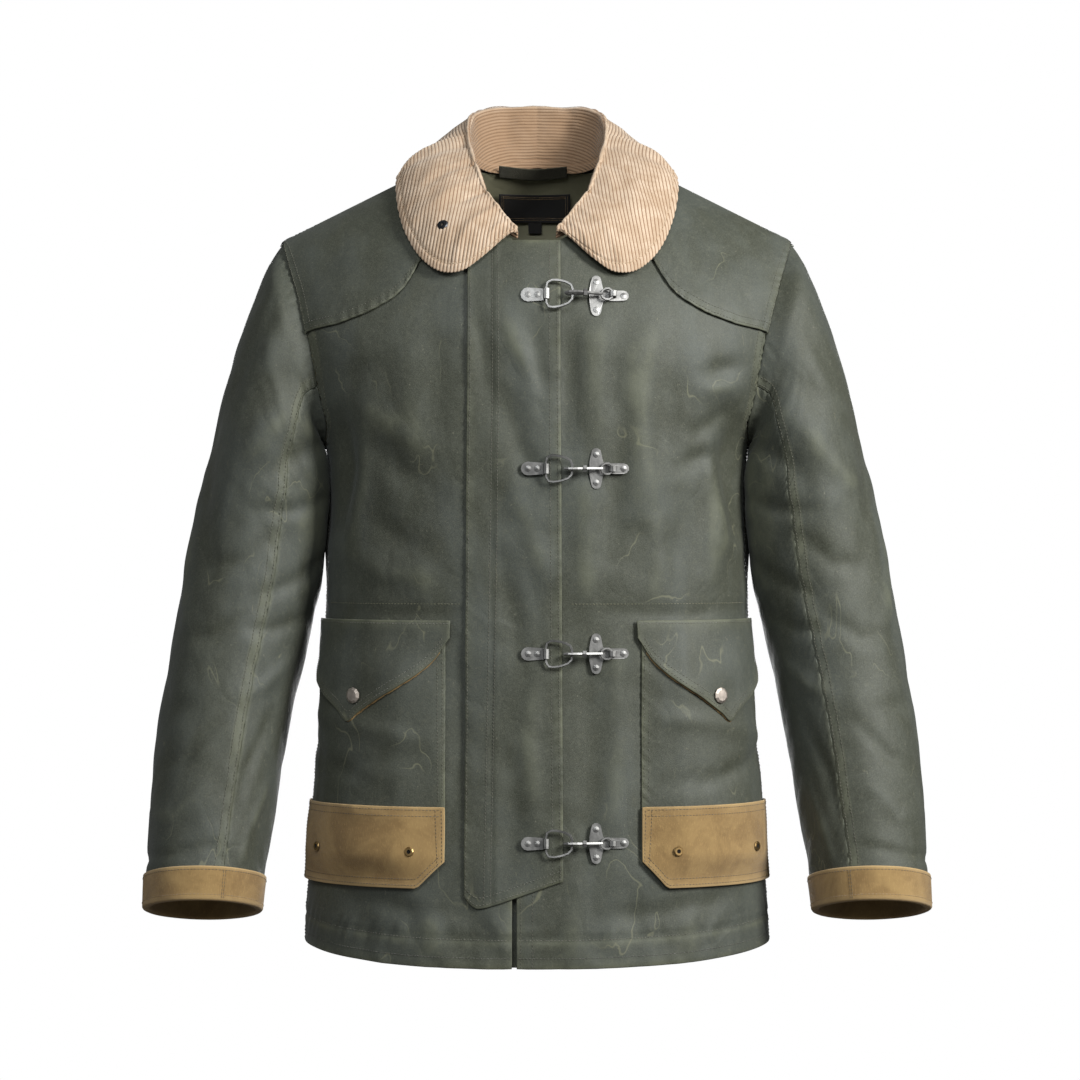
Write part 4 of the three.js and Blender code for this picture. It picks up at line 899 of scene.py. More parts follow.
def row_at(grid, n, distance, edge, start=0.0, stop=1.0):
    """A line on the grid at a set distance from one of its edges, with its directions."""
    if edge in "lr":
        walk = np.linalg.norm(np.diff(grid, axis=1), axis=-1)
        walk = np.hstack([np.zeros((len(grid), 1)), np.cumsum(walk, 1)])
        if edge == "r":
            walk = walk[:, -1:] - walk
            grid, n, walk = grid[:, ::-1], n[:, ::-1], walk[:, ::-1]
        lines = range(len(grid))
        pick = lambda a, i: a[i]
    else:
        walk = np.linalg.norm(np.diff(grid, axis=0), axis=-1)
        walk = np.vstack([np.zeros((1, grid.shape[1])), np.cumsum(walk, 0)])
        if edge == "t":
            walk = walk[-1:] - walk
            grid, n, walk = grid[::-1], n[::-1], walk[::-1]
        lines = range(grid.shape[1])
        pick = lambda a, i: a[:, i]
    lines = list(lines)
    lines = lines[int(start * (len(lines) - 1)) : int(stop * (len(lines) - 1)) + 1]
    points, ups = [], []
    for i in lines:
        w = pick(walk, i)
        points.append([np.interp(distance, w, pick(grid, i)[:, k]) for k in range(3)])
        ups.append([np.interp(distance, w, pick(n, i)[:, k]) for k in range(3)])
    return np.array(points), np.array(ups)


def sew(grid, n, high, distance, edge, material=None, start=0.0, stop=1.0, **kw):
    points, ups = row_at(grid, n, distance, edge, start, stop)
    stitch_row(points + unit(ups) * high, ups, material or OLIVE_THREAD, **kw)


def as_sheet(obj, width, length, held, area, rests=(), with_pieces=()):
    area = min(area, width * length)
    list(rests)
    list(with_pieces)


def grid_area(grid, wrap=False):
    if wrap:
        grid = np.concatenate([grid, grid[:, :1]], 1)
    a = grid[1:, :-1] - grid[:-1, :-1]
    b = grid[:-1, 1:] - grid[:-1, :-1]
    return float(np.linalg.norm(np.cross(a, b), axis=-1).sum())


def hem_form(rough, seed):
    """The hem's stitched line draws the cloth in and puckers it on both sides."""
    gap = edge_distance(rough, "b") - HEM_ROW
    across = np.linalg.norm(np.diff(rough, axis=1, prepend=rough[:, :1]), axis=-1).cumsum(1)
    return puckers(np.abs(gap), across + 0.5 * gap, 12, 13, 0.8, seed) - 0.9 * np.exp(
        -((gap / 2.2) ** 2))


def hem_wear(rough):
    gap = edge_distance(rough, "b") - HEM_ROW
    return 0.55 * np.exp(-(((gap + 3.5) / 3) ** 2))


def make_fronts():
    for name, centre, hand in (("front_right", RIGHT_FRONT_X, -1), ("front_left", LEFT_FRONT_X, 1)):
        rough = half_panel(centre, hand, 1, 72, 120, 94)
        gathers = seam_gathers(rough, "t", 9, 11, 0.5, 0.7) + seam_gathers(rough, "r", 9, 8.5, 0.85, 1.2)
        gathers = gathers + hem_form(rough, 0.6 + hand)
        if hand > 0:
            gathers = gathers + seam_gathers(rough, "l", 9, 12, 0.45, 2.1)
        grid, n = cloth_grid(rough, (0, 0, 0), 1, gathers)
        wear = body_wear(grid, n, "lrb")
        wear = np.maximum(wear, 0.5 * crest(grid[..., 0], grid[..., 2], 1))
        wear = np.maximum(wear, hem_wear(rough))
        armhole = (1 - ease(9, 13, edge_distance(rough, "r"))) * ease(-250, -225, rough[..., 2])
        wear = np.maximum(wear, 0.5 * armhole)
        lift = {"lift": body_folds(grid[..., 0], grid[..., 2], 1)}
        obj, _ = shell(name, grid, n, 0, CLOTH, WAXED, "waxed", [name], wear=wear, floats=lift)
        as_sheet(obj, 300, 830, "hung", grid_area(grid))
        # two rows along the hem, one at the waist and two beside the side seam
        sew(grid, n, CLOTH, 9, "b", DARK_THREAD)
        sew(grid, n, CLOTH, HEM_ROW, "b", OLIVE_THREAD)
        waist = resample(
            body_point(angle_at(np.linspace(hand * 28, hand * 196, 120), WAIST_Z), WAIST_Z, 1), 3
        )
        lift_x, lift_z = waist[:, 0], waist[:, 2]
        away = unit(waist * (1, 1, 0))
        lift = body_folds(lift_x, lift_z, 1) * ease(0.3, 14, np.abs(waist[:, 1]))
        side_only = np.abs(lift_x) > (70 if hand < 0 else 30)
        line = waist + away * (CLOTH + lift)[:, None]
        stitch_row(line[side_only], away[side_only], WAIST_THREAD)
        sew(grid, n, CLOTH, 3.0, "r", OLIVE_THREAD)
        sew(grid, n, CLOTH, 10.0, "r", OLIVE_THREAD)
        if hand > 0:
            sew(grid, n, CLOTH, 3.0, "l", OLIVE_THREAD)
            sew(grid, n, CLOTH, 14.0, "l", OLIVE_THREAD)
        yield grid, n


def make_back():
    left = half_panel(0, 1, -1, 60, 106, 86)
    right = half_panel(0, -1, -1, 60, 106, 86)
    rough = np.concatenate([right[:, :0:-1], left], 1)
    gathers = seam_gathers(rough, "t", 9, 12, 0.4, 0.3)
    gathers = gathers + seam_gathers(rough, "r", 10, 10, 0.5, 1.6)
    gathers = gathers + seam_gathers(rough, "l", 10, 10, 0.5, 0.9)
    gathers = gathers + hem_form(rough, 1.9)
    grid, n = cloth_grid(rough, (0, 0, 0), -1, gathers)
    wear = np.maximum(body_wear(grid, n, "b"), 0.5 * crest(grid[..., 0], grid[..., 2], -1))
    wear = np.maximum(wear, hem_wear(rough))
    lift = {"lift": body_folds(grid[..., 0], grid[..., 2], -1)}
    obj, _ = shell("back_panel", grid, n, 0, CLOTH, WAXED, "waxed", ["back_panel"], wear=wear,
                   floats=lift)
    as_sheet(obj, 720, 830, "hung", grid_area(grid))
    sew(grid, n, CLOTH, 9, "b", DARK_THREAD)
    sew(grid, n, CLOTH, HEM_ROW, "b", OLIVE_THREAD)
    for edge in "lr":
        sew(grid, n, CLOTH, 3.0, edge, OLIVE_THREAD, 0.0, 0.55)
    return grid, n


def make_underlap():
    """The left front's facing, seen in the opening below the storm flap."""
    z = np.linspace(HEM_SIDE_Z - HEM_DROP_FRONT + 1, -60, 190)[:, None]
    x = np.linspace(LEFT_FRONT_X + 10, RIGHT_FRONT_X - 22, 14)[None]
    x, z = np.broadcast_arrays(x, z)
    angle = angle_at(x, z)
    z = np.where(z < -650, z, z)
    plain = body_point(angle, z, 1)
    n = normals_of(plain, (0, 0, 0))
    grid = plain + n * (body_folds(x, z, 1) - 3.4)[..., None]
    shell("front_left_facing", grid, n, -1.6, 0, WAXED, "waxed", wear=body_wear(grid, n, "b"))


list(make_fronts())
make_back()
make_underlap()


# Sleeves


def fold_height_on_sleeve(row, turn_degrees, hand):
    """Folds over the sleeve, with rows spaced as they are on the arm and degrees as an arc."""
    per_row = 56.0
    per_degree = 1.15
    x = turn_degrees * per_degree
    z = row * per_row
    total = 0
    for shift in (-360, 0, 360):
        total = total + fold_field(
            x + shift * per_degree, z, SLEEVE_FOLDS, (per_degree, per_row)
        )
    total = total + ripple(
        70 * np.cos(np.radians(turn_degrees)) + 0.4 * z,
        70 * np.sin(np.radians(turn_degrees)) + 0.9 * z,
        [(88, 1.0), (41, 0.5)],
        0.9 + hand,
    )
    return total * ease(0.0, 0.5, row + 0.45) * ease(-0.05, 0.6, 11.1 - row)


def sleeve_point(row, turn, hand):
    at = {c: smooth(SLEEVE, "row", c, row) for c in ("xo", "zo", "xi", "zi", "y", "deep", "tip")}
    half = np.cos(turn) / 2
    x = (at["xo"] + at["xi"]) / 2 + (at["xo"] - at["xi"]) * half
    forward = at["deep"] * np.sin(turn)
    lean = forward * np.tan(np.radians(at["tip"]))
    z = (at["zo"] + at["zi"]) / 2 + (at["zo"] - at["zi"]) * half + lean
    return np.stack([hand * x, at["y"] - forward, z], -1)


def armhole_point(turn, hand):
    """Where the sleeve is set in: round the armhole, a little outside the panels."""
    turn = np.mod(turn, 2 * PI)
    side = np.where(turn <= PI, 1, -1)
    t = np.where(side > 0, turn / PI, 2 - turn / PI)
    z = lerp(shoulder_z(SHOULDER_X), ARMPIT_Z, (1 - np.cos(t * PI)) / 2)
    angle = side_angle(z) * hand

    def at(a, h):
        return np.where((side > 0)[..., None], body_point(a, h, 1), body_point(a, h, -1))

    across = unit(at(angle, z) - at(angle * 0.98, z))
    along = at(angle * 0.99, z + 2) - at(angle * 0.99, z - 2)
    normal = unit(np.cross(across, along))
    normal = np.where((normal[..., 1] * side > 0)[..., None], -normal, normal)
    flat = np.zeros(t.shape + (3,))
    flat[..., 0] = hand * np.where(t > 0.5, 1, 0.3)
    flat[..., 2] = np.where(t > 0.5, 0, 1)
    near_end = ((t > 0.97) | (t < 0.03))[..., None]
    shift = np.zeros(t.shape + (3,))
    shift[..., 0] = hand * np.where(t < 0.15, 1.2, 0.7)
    shift[..., 2] = np.where(t > 0.9, 0.6, 0)
    return at(angle, z) + np.where(near_end, flat, normal) * CLOTH + shift


def sleeve_grid(turns, hand, per_row=11):
    """Points down the sleeve, on a smooth curve through its rings."""
    rings = [armhole_point(turns, hand)]
    rings += [sleeve_point(np.full_like(turns, r), turns, hand) for r in range(12)]
    first = 2 * rings[0] - rings[1]
    last = sleeve_point(np.full_like(turns, 12.0), turns, hand)
    rings = [first] + rings + [last]
    rows, grid = [], []
    for k in range(1, 13):
        a, b, c, d = rings[k - 1 : k + 3]
        for s in np.arange(per_row) / per_row:
            p = 0.5 * (
                2 * b + (c - a) * s + (2 * a - 5 * b + 4 * c - d) * s**2
                + (3 * b - a - 3 * c + d) * s**3
            )
            grid.append(p)
            rows.append(k - 2 + s)
    grid.append(rings[13])
    rows.append(11.0)
    return np.array(grid), np.array(rows)


def sleeve_cloth(turns, hand, sides, seed):
    plain, rows = sleeve_grid(turns, hand)
    middle = np.array([hand * 285.0, 0, -300])
    n = normals_of(plain, middle)
    axis = plain.mean(1, keepdims=True)
    full = sleeve_grid(np.linspace(0, 2 * PI, 41)[:-1], hand)[0].mean(1, keepdims=True)
    axis[:] = full
    outward = plain - axis
    flip = np.sum(n * outward, -1) < 0
    n[flip] *= -1
    lift = fold_height_on_sleeve(rows[:, None], np.degrees(turns)[None], hand)
    along = np.linalg.norm(np.diff(plain, axis=0, prepend=plain[:1]), axis=-1).cumsum(0)
    gap = edge_distance(plain, sides)
    lift = lift + puckers(gap, along, 10, 8.6, 0.75, seed)
    twist = np.sin(2 * PI * along / 5.6 + gap * 0.55 + 1.5 * np.sin(along * 0.07))
    lift = lift + 0.42 * twist * np.exp(-(((gap - 5.4) / 2.8) ** 2)) * (len(turns) > 80)
    top = edge_distance(plain, "b")
    across = np.linalg.norm(np.diff(plain, axis=1, prepend=plain[:, :1]), axis=-1).cumsum(1)
    lift = lift + puckers(top - 5, across, 9, 10.5, 0.55, seed + 1) * ease(0, 3, top)
    grid = plain + n * lift[..., None]
    return grid, n, rows, lift


def make_sleeve(word, hand):
    upper_turns = np.linspace(-SEAM_ANGLE + SEAM_GAP, SEAM_ANGLE - SEAM_GAP, 94)
    under_turns = np.linspace(SEAM_ANGLE + SEAM_GAP, 2 * PI - SEAM_ANGLE - SEAM_GAP, 50)
    for part, turns, seed in (("upper", upper_turns, 0.4), ("under", under_turns, 2.2)):
        grid, n, rows, lift = sleeve_cloth(turns, hand, "lr", seed + hand)
        seam = edge_distance(grid, "lr")
        band_wear = 0.62 * (1 - ease(8.5, 11, seam)) if part == "upper" else 0
        wear = np.maximum(0.5 * np.exp(-((seam / 1.8) ** 2)), band_wear)
        wear = np.maximum(wear, np.clip((lift - 1.2) / 3.2, 0, 0.6))
        name = "sleeve_" + word + "_" + part
        obj, _ = shell(name, grid, n, -CLOTH, 0, WAXED, "waxed", [name], wear=wear,
                       floats={"lift": lift})
        width = 300 if part == "upper" else 150
        as_sheet(obj, width, 690, "hung", grid_area(grid))
        if part == "upper":
            for edge in "lr":
                for distance in (2.0, 8.8):
                    sew(grid, n, 0.2, distance, edge, OLIVE_THREAD, 0.01, 0.955)


def make_cuff(word, hand):
    turns = np.linspace(0, 2 * PI, 181)[:-1]
    top, low = CUFF_TOP, CUFF_LOW
    out, thick, inside = 0.9, 1.8, CLOTH + 0.9
    path = [(lerp(top, low, t), out + thick / 2) for t in np.linspace(0, 1, 13)]
    fold = [(low + 0.03 * math.sin(a), lerp(out + thick / 2, -inside - thick / 2, (1 - math.cos(a)) / 2))
            for a in np.linspace(0, PI, 7)[1:-1]]
    back = [(lerp(low, top + 0.2, t), -inside - thick / 2) for t in np.linspace(0, 1, 11)]
    rows = path + fold + back
    grid = []
    for row, off in rows:
        r = np.full_like(turns, row)
        centre = (sleeve_point(np.array([row]), np.array([0.0]), hand)
                  + sleeve_point(np.array([row]), np.array([PI]), hand)) / 2
        p = sleeve_point(r, turns, hand)
        wobble = ripple(np.degrees(turns), np.full_like(turns, 20 * row), [(64, 0.7), (31, 0.3)],
                        0.6 + hand)
        wobble = wobble - wobble.mean()
        grid.append(p + unit(p - centre) * (off + wobble * 0.6)[:, None])
    grid = np.array(grid)
    n = normals_of(grid[:13], grid.mean((0, 1)), True)
    across = np.roll(grid, -1, 1) - np.roll(grid, 1, 1)
    full = unit(np.cross(across, np.gradient(grid, axis=0)))
    if np.sum(full[:13] * n) < 0:
        full = -full
    edge = np.minimum(edge_distance(grid, "bt"), 99)
    fold_gap = np.abs(np.linalg.norm(np.diff(grid, axis=0, prepend=grid[:1]), axis=-1).cumsum(0)
                      - np.linalg.norm(np.diff(grid[:13], axis=0), axis=-1).sum(0))
    wear = np.maximum(np.exp(-((edge / 1.6) ** 2)), 0.7 * np.exp(-((fold_gap / 3) ** 2)))
    name = "cuff_" + word
    obj, _ = shell(name, grid, full, -thick / 2, thick / 2, TAN, "tan", [name], wrap=True, wear=wear)
    as_sheet(obj, 365, 84, "folded", grid_area(grid, True))
    ring = np.concatenate([grid[:13], grid[:13, :1]], 1)
    ring_n = np.concatenate([full[:13], full[:13, :1]], 1)
    sew(ring, ring_n, thick / 2, 2.6, "b", BROWN_THREAD)
    sew(ring, ring_n, thick / 2, 3.5, "t", TAN_THREAD)
    seam = int(round(SEAM_ANGLE / (2 * PI) * 180))
    for step in (0, 1):
        column = grid[1:13, seam + step]
        stitch_row(column + full[1:13, seam + step] * thick / 2, full[1:13, seam + step],
                   BROWN_THREAD)


for word, hand in (("right", -1), ("left", 1)):
    make_sleeve(word, hand)
    make_cuff(word, hand)


# Pieces sewn on the body


def lay_patch(name, columns, rows, place, base, thick, material, slot, side=1, extra=None,
              wear_edges="lrbt", make=True, wear_share=0.85, nodes=None):
    """A piece that lies over the body: its points are the body's, moved out."""
    u = np.linspace(0, 1, columns + 1)
    t = rows if isinstance(rows, np.ndarray) else np.linspace(0, 1, rows + 1)
    u, t = np.meshgrid(u, t)
    angle, z = place(u, t)
    plain = body_point(angle, z, side)
    n = square_at_seams(plain, normals_of(plain, (0, 0, 0)))
    lift = body_folds(plain[..., 0], plain[..., 2], side) * ease(0.3, 14, np.abs(plain[..., 1]))
    lift = lift + (base(u, t, angle, z) if callable(base) else base)
    if extra is not None:
        lift = lift + extra(u, t, plain)
    grid = plain + n * lift[..., None]
    gap = edge_distance(grid, wear_edges)
    wear = np.maximum(np.exp(-((gap / 1.6) ** 2)), 0.5 * np.exp(-((gap / 7.5) ** 2)))
    wear = wear_share * wear
    wear = np.maximum(wear, 0.5 * crest(plain[..., 0], plain[..., 2], side))
    obj = None
    if make:
        height = {"lift": body_folds(plain[..., 0], plain[..., 2], side)}
        obj, _ = shell(name, grid, n, 0, thick, material, slot, nodes or [name], wear=wear,
                       floats=height)
    return obj, grid, n


def gathers_at(edges, reach, pitch, height, seed):
    return lambda u, t, plain: sum(
        seam_gathers(plain, e, reach, pitch, height, seed + i) for i, e in enumerate(edges)
    )


def make_yoke(word, hand):
    def place(u, t):
        x0, z0 = smooth(YOKE, "u", "x", u), smooth(YOKE, "u", "z", u)
        x1 = lerp(NECK_X + 8, SHOULDER_X, u)
        z = lerp(z0, shoulder_z(x1), t)
        x = lerp(lerp(x0, x1, t), smooth(ARMHOLE, "z", "x", z), ease(0.8, 1, u))
        return hand * angle_at(x, z), z

    rows = 1 - (1 - np.linspace(0, 1, 71)) ** 1.6
    name = "yoke_" + word
    gather = gathers_at("br", 8, 10.5, 0.4, 0.5 + hand)
    obj, grid, n = lay_patch(name, 70, rows, place, PATCH_BASE + YOKE_LIFT, PATCH, WAXED,
                             "waxed", extra=gather)
    as_sheet(obj, 178, 175, "hung", grid_area(grid), ["front_" + word])
    sew(grid, n, PATCH, 2.0, "b", OLIVE_THREAD)
    sew(grid, n, PATCH, 8.0, "b", OLIVE_THREAD)
    sew(grid, n, PATCH, 2.5, "r", OLIVE_THREAD)
    sew(grid, n, PATCH, 9.0, "r", OLIVE_THREAD)


def flap_rise(z):
    return ease(-190, -120, z)


def make_storm_flap():
    def lower(u):
        slant = lerp(FLAP_LOW_LEFT_Z, FLAP_LOW_RIGHT_Z, np.maximum(u - 0.12, 0) / 0.88)
        return slant + 14 * np.exp(-u * 14)

    def place(u, t):
        x = lerp(FLAP_LEFT_X + 4 * t, FLAP_RIGHT_X - 3 * t, u)
        collared = np.clip((-22 - x) / 24, 0, 1)
        z = lerp(lower(u), FLAP_HIGH_Z + 10 * collared, t)
        return angle_at(x, z), z

    def lift(u, t, angle, z):
        return PATCH_BASE + flap_rise(z)

    def sewn_lines(u, t, plain):
        strip = np.exp(-(((plain[..., 0] + 41.5) / 1.6) ** 2)) * -0.5
        strip = strip + np.exp(-(((plain[..., 0] + 37.5) / 2.5) ** 2)) * 0.35
        edge = seam_gathers(plain, "l", 7, 9, 0.35, 0.2) + seam_gathers(plain, "r", 8, 11, 0.35, 1.4)
        roll = 0.5 * np.exp(-((edge_distance(plain, "r") / 3.4) ** 2))
        long = ripple(plain[..., 0] * 1.6, plain[..., 2], [(60, 0.5)], 2.2)
        return strip + edge + roll + long

    obj, grid, n = lay_patch("storm_flap", 40, 190, place, lift, CLOTH, WAXED, "waxed",
                             extra=sewn_lines)
    as_sheet(obj, 92, 640, "hung", grid_area(grid), ["front_right", "front_left"])
    for distance in (2.2, 9.5):
        sew(grid, n, CLOTH, distance, "r", OLIVE_THREAD)
    for distance in (2.2, 23.4, 29.6):
        sew(grid, n, CLOTH, distance, "l", OLIVE_THREAD, 0.01)
    for distance in (2.4, 9.5):
        sew(grid, n, CLOTH, distance, "b", OLIVE_THREAD, 0.04)


def plateau(t):
    return np.minimum(1, 1.7 * np.sin(PI * np.clip(t, 0, 1)))


def pocket_lift(u, z):
    top = ease(0, 60, POCKET_TOP_Z + 8 - z)
    foot = ease(0, 30, z - POCKET_LOW_Z)
    return POCKET_LIFT * plateau(u) * np.minimum(0.3 + 0.7 * top, foot)


def make_pocket(word, hand, inner_x):
    def inner(z):
        return angle_at(inner_x, z)

    def lift(angle, z):
        return pocket_lift((np.abs(angle) - inner(z)) / (POCKET_OUT - inner(z)), z)

    def lower(u):
        return CHAMFER * np.maximum(1 - u / CHAMFER_SHARE, 0)

    def between(top, low):
        def place(u, t):
            z = lerp(low(u), top, t)
            return hand * lerp(inner(z), POCKET_OUT, u), z

        return place

    def over(extra):
        return lambda u, t, angle, z: PATCH_BASE + extra + lift(angle, z)

    def creases(seed):
        def field(u, t, plain):
            x, z = plain[..., 0], plain[..., 2]
            bend = 2.2 * np.exp(-(((z + 497 - 14 * np.sin(u * 2.6 + seed)) / 9) ** 2))
            bend = bend - 1.8 * np.exp(-(((z + 522 + 20 * np.sin(u * 2 + seed)) / 10) ** 2))
            slope = -1.6 * np.exp(-(((z + 545 - 55 * (u - 0.3)) / 8) ** 2)) * ease(0.2, 0.5, u)
            return (bend * plateau(u) * 0.8 + slope) * ease(0, 25, z + 600) + gathers_at(
                "lr", 8, 9, 0.45, seed)(u, t, plain)

        return field

    foot = lambda u: POCKET_LOW_Z + lower(u)
    body = "front_" + word
    name = "pocket_" + word
    rows = np.linspace(0, 1, 86)
    obj, grid, n = lay_patch(name, 58, rows, between(POCKET_TOP_Z, foot), over(0), PATCH, WAXED,
                             "waxed", extra=creases(0.4 + hand), wear_edges="lr")
    as_sheet(obj, 185, 250, "laid", grid_area(grid), [body])
    for distance in (2.0, 7.0):
        sew(grid, n, PATCH, distance, "l", OLIVE_THREAD, 0.28, 0.98)
        sew(grid, n, PATCH, distance, "r", OLIVE_THREAD, 0.28, 0.98)

    def panel_form(u, t, plain):
        return 0.5 * np.exp(-((edge_distance(plain, "lrbt") / 4) ** 2)) + gathers_at(
            "t", 7, 12, 0.3, 0.4)(u, t, plain)

    name = "pocket_panel_" + word
    obj, tan, tan_n = lay_patch(name, 58, 30, between(TAN_TOP_Z, lambda u: foot(u) - 1.5),
                                over(FLAP_TOP), PATCH, TAN, "tan", extra=panel_form)
    as_sheet(obj, 190, 80, "laid", grid_area(tan), ["pocket_" + word])
    for distance in (2.2, 8.0):
        for edge in "lrbt":
            sew(tan, tan_n, PATCH, distance, edge, BROWN_THREAD, 0.02, 0.98)

    flap_in = angle_at(inner_x - 5, POCKET_FLAP_TOP_Z)

    def flap_place(u, t):
        z = lerp(smooth(POCKET_FLAP, "u", "low", u), POCKET_FLAP_TOP_Z, t)
        return hand * lerp(flap_in, POCKET_OUT, u), z

    def flap_form(u, t, plain):
        curl = 1.6 * np.exp(-((t / 0.16) ** 2)) * ease(0.0, 0.2, u) * ease(0, 0.12, 1 - u)
        dip = np.exp(-((np.hypot(plain[..., 0] - hand * 164, plain[..., 2] + 462) / 12) ** 2))
        return curl - 1.1 * dip + ripple(plain[..., 0], plain[..., 2], [(52, 0.7)], 1.3 + hand)

    name = "pocket_flap_" + word
    obj, flap, flap_n = lay_patch(name, 72, 34, flap_place, over(FLAP_TOP), PATCH, WAXED,
                                  "waxed", extra=flap_form)
    as_sheet(obj, 158, 95, "hung", grid_area(flap), ["pocket_" + word])
    for distance in (3.0, 9.0):
        sew(flap, flap_n, PATCH, distance, "b", OLIVE_THREAD, 0.03, 0.97)
    sew(flap, flap_n, PATCH, 2.4, "t", OLIVE_THREAD)
    # the flap's underside is bound with a thin tan strip that shows below its edge
    low = flap[0] - flap_n[0] * 0.1
    steps = np.linspace(0, 1, 5)
    drop = np.zeros_like(low)
    drop[:, 2] = -1.9
    fray = 1 + 0.25 * np.sin(np.arange(len(low)) * 2.1) + 0.2 * np.sin(np.arange(len(low)) * 5.3)
    binding = np.array([low + drop * (s - 0.35) * fray[:, None] - flap_n[0] * 0.9 * s
                        for s in steps])
    binding = binding[:, 3:-3]
    binding_n = np.broadcast_to(flap_n[0][3:-3], binding.shape).copy()
    shell(name + "_binding", binding, binding_n, -0.7, 0.3, TAN, "tan",
          wear=np.zeros(binding.shape[:2]))


for word, hand, inner_x in (("right", -1, 85.5), ("left", 1, 97.5)):
    make_yoke(word, hand)
    make_pocket(word, hand, inner_x)
make_storm_flap()


# Collar and the neck's trims

COLLAR_HALF = 1.3
ROLL_CLEAR = 4.4
EDGE_OVER_SEAM = 4.6
SEAT_INSET = 4.0
SEAT_RISE = 4.8
WALE = 3.3


def edge_on_body(x, z, side, out):
    angle = angle_at(x, z)

    def at(da, dz):
        front = body_point(angle + da, z + dz, 1)
        return np.where((side > 0)[..., None], front, body_point(angle + da, z + dz, -1))

    normal = unit(np.cross(at(0.01, 0) - at(-0.01, 0), at(0, 1.0) - at(0, -1.0)))
    normal = np.where((normal[..., 1] * side > 0)[..., None], -normal, normal)
    return at(0, 0) + normal * out[..., None]


def collar_stations(at, hand):
    """The collar's path at each station: up the stand, over the roll and down the fall."""
    col = {c: smooth(COLLAR, "neck", c, at) for c in ("rx", "ry", "rz", "ex", "ez")}
    side_seam = 0.68
    front = at < side_seam
    t = np.where(front, lerp(0.17, 1, at / side_seam), 1 - (at - side_seam) / (1 - side_seam))
    fx, fz = neck_point(t, 1)
    bx, bz = neck_point(t, -1)
    sx, sz = np.where(front, fx, bx), np.where(front, fz, bz)
    seam = np.where(front[:, None], body_point(angle_at(sx, sz), sz, 1),
                    body_point(angle_at(sx, sz), sz, -1))
    seam = seam - unit(seam * (1, 1, 0)) * SEAT_INSET
    seam[:, 2] += SEAT_RISE * (1 - 0.8 * ease(0.74, 0.92, at))
    roll = np.stack([col["rx"], col["ry"], col["rz"]], -1)
    neck_turn = 2 / PI * np.arcsin(np.minimum(roll[:, 0] / NECK_X, 1))
    lowest = neck_point(neck_turn, 1)[1] + ROLL_CLEAR
    roll[:, 2] = np.where(front, np.maximum(roll[:, 2], lowest), roll[:, 2])
    out = unit(np.stack([roll[:, 0], roll[:, 1] + 5, np.zeros(len(at))], -1))
    side = np.where(at < 0.72, 1, -1)
    edge = edge_on_body(col["ex"], col["ez"], side, np.where(side > 0, 8.8, 7.0))
    edge[:, 2] += EDGE_OVER_SEAM * np.exp(-((edge[:, 1] / 25) ** 2))
    over = roll + out * 4.2
    over[:, 2] -= 1
    crown = roll + out * 2
    crown[:, 2] += 2.2
    bulge = unit(out + np.array([0, 0, 0.8]))
    length = np.linalg.norm(edge - over, axis=-1)
    falls = [lerp(over, edge, q) + bulge * (0.13 * length * math.sin(PI * q))[:, None]
             for q in np.linspace(0, 1, 6)[1:]]
    path = np.stack([seam, (seam + roll) / 2, roll, crown, over] + falls, 1)
    return path * (hand, 1, 1)


def along_curve(path, count):
    """Evenly spaced points on a smooth curve through each station's path, and their distance."""
    first = 2 * path[:, :1] - path[:, 1:2]
    last = 2 * path[:, -1:] - path[:, -2:-1]
    p = np.concatenate([first, path, last], 1)
    dense = []
    for k in range(1, p.shape[1] - 2):
        a, b, c, d = (p[:, k + i] for i in (-1, 0, 1, 2))
        for s in np.arange(16) / 16:
            dense.append(
                0.5 * (2 * b + (c - a) * s + (2 * a - 5 * b + 4 * c - d) * s**2
                       + (3 * b - a - 3 * c + d) * s**3)
            )
    dense.append(p[:, -2])
    dense = np.stack(dense, 1)
    steps = np.linalg.norm(np.diff(dense, axis=1), axis=-1)
    walk = np.concatenate([np.zeros((len(path), 1)), np.cumsum(steps, 1)], 1)
    roll_at = walk[:, 16 * 3]
    out, far = [], []
    for i in range(len(path)):
        share = roll_at[i] / walk[i, -1]
        where = np.interp(np.linspace(0, 1, count), (0, 0.2 + 0.7 * share, 1), (0, share, 1))
        where = where * walk[i, -1]
        out.append(np.stack([np.interp(where, walk[i], dense[i, :, k]) for k in range(3)], -1))
        far.append(where - roll_at[i])
    return np.array(out), np.array(far)


COLLAR_CREASES = [
    ([(0.34, -26), (0.35, 0), (0.36, 30)], 0.018, -1.6),
    ([(0.52, -20), (0.53, 10), (0.50, 60)], 0.02, -1.3),
    ([(0.22, 4), (0.24, 40), (0.22, 78)], 0.022, 1.4),
    ([(0.43, 6), (0.42, 50), (0.44, 90)], 0.024, 1.5),
    ([(0.66, 4), (0.64, 40), (0.67, 84)], 0.022, -1.2),
    ([(0.80, 0), (0.82, 40), (0.80, 80)], 0.024, 1.3),
    ([(0.93, -40), (0.94, 0), (0.92, 60)], 0.02, -1.4),
    ([(0.10, 0), (0.12, 20), (0.10, 40)], 0.02, 1.0),
]


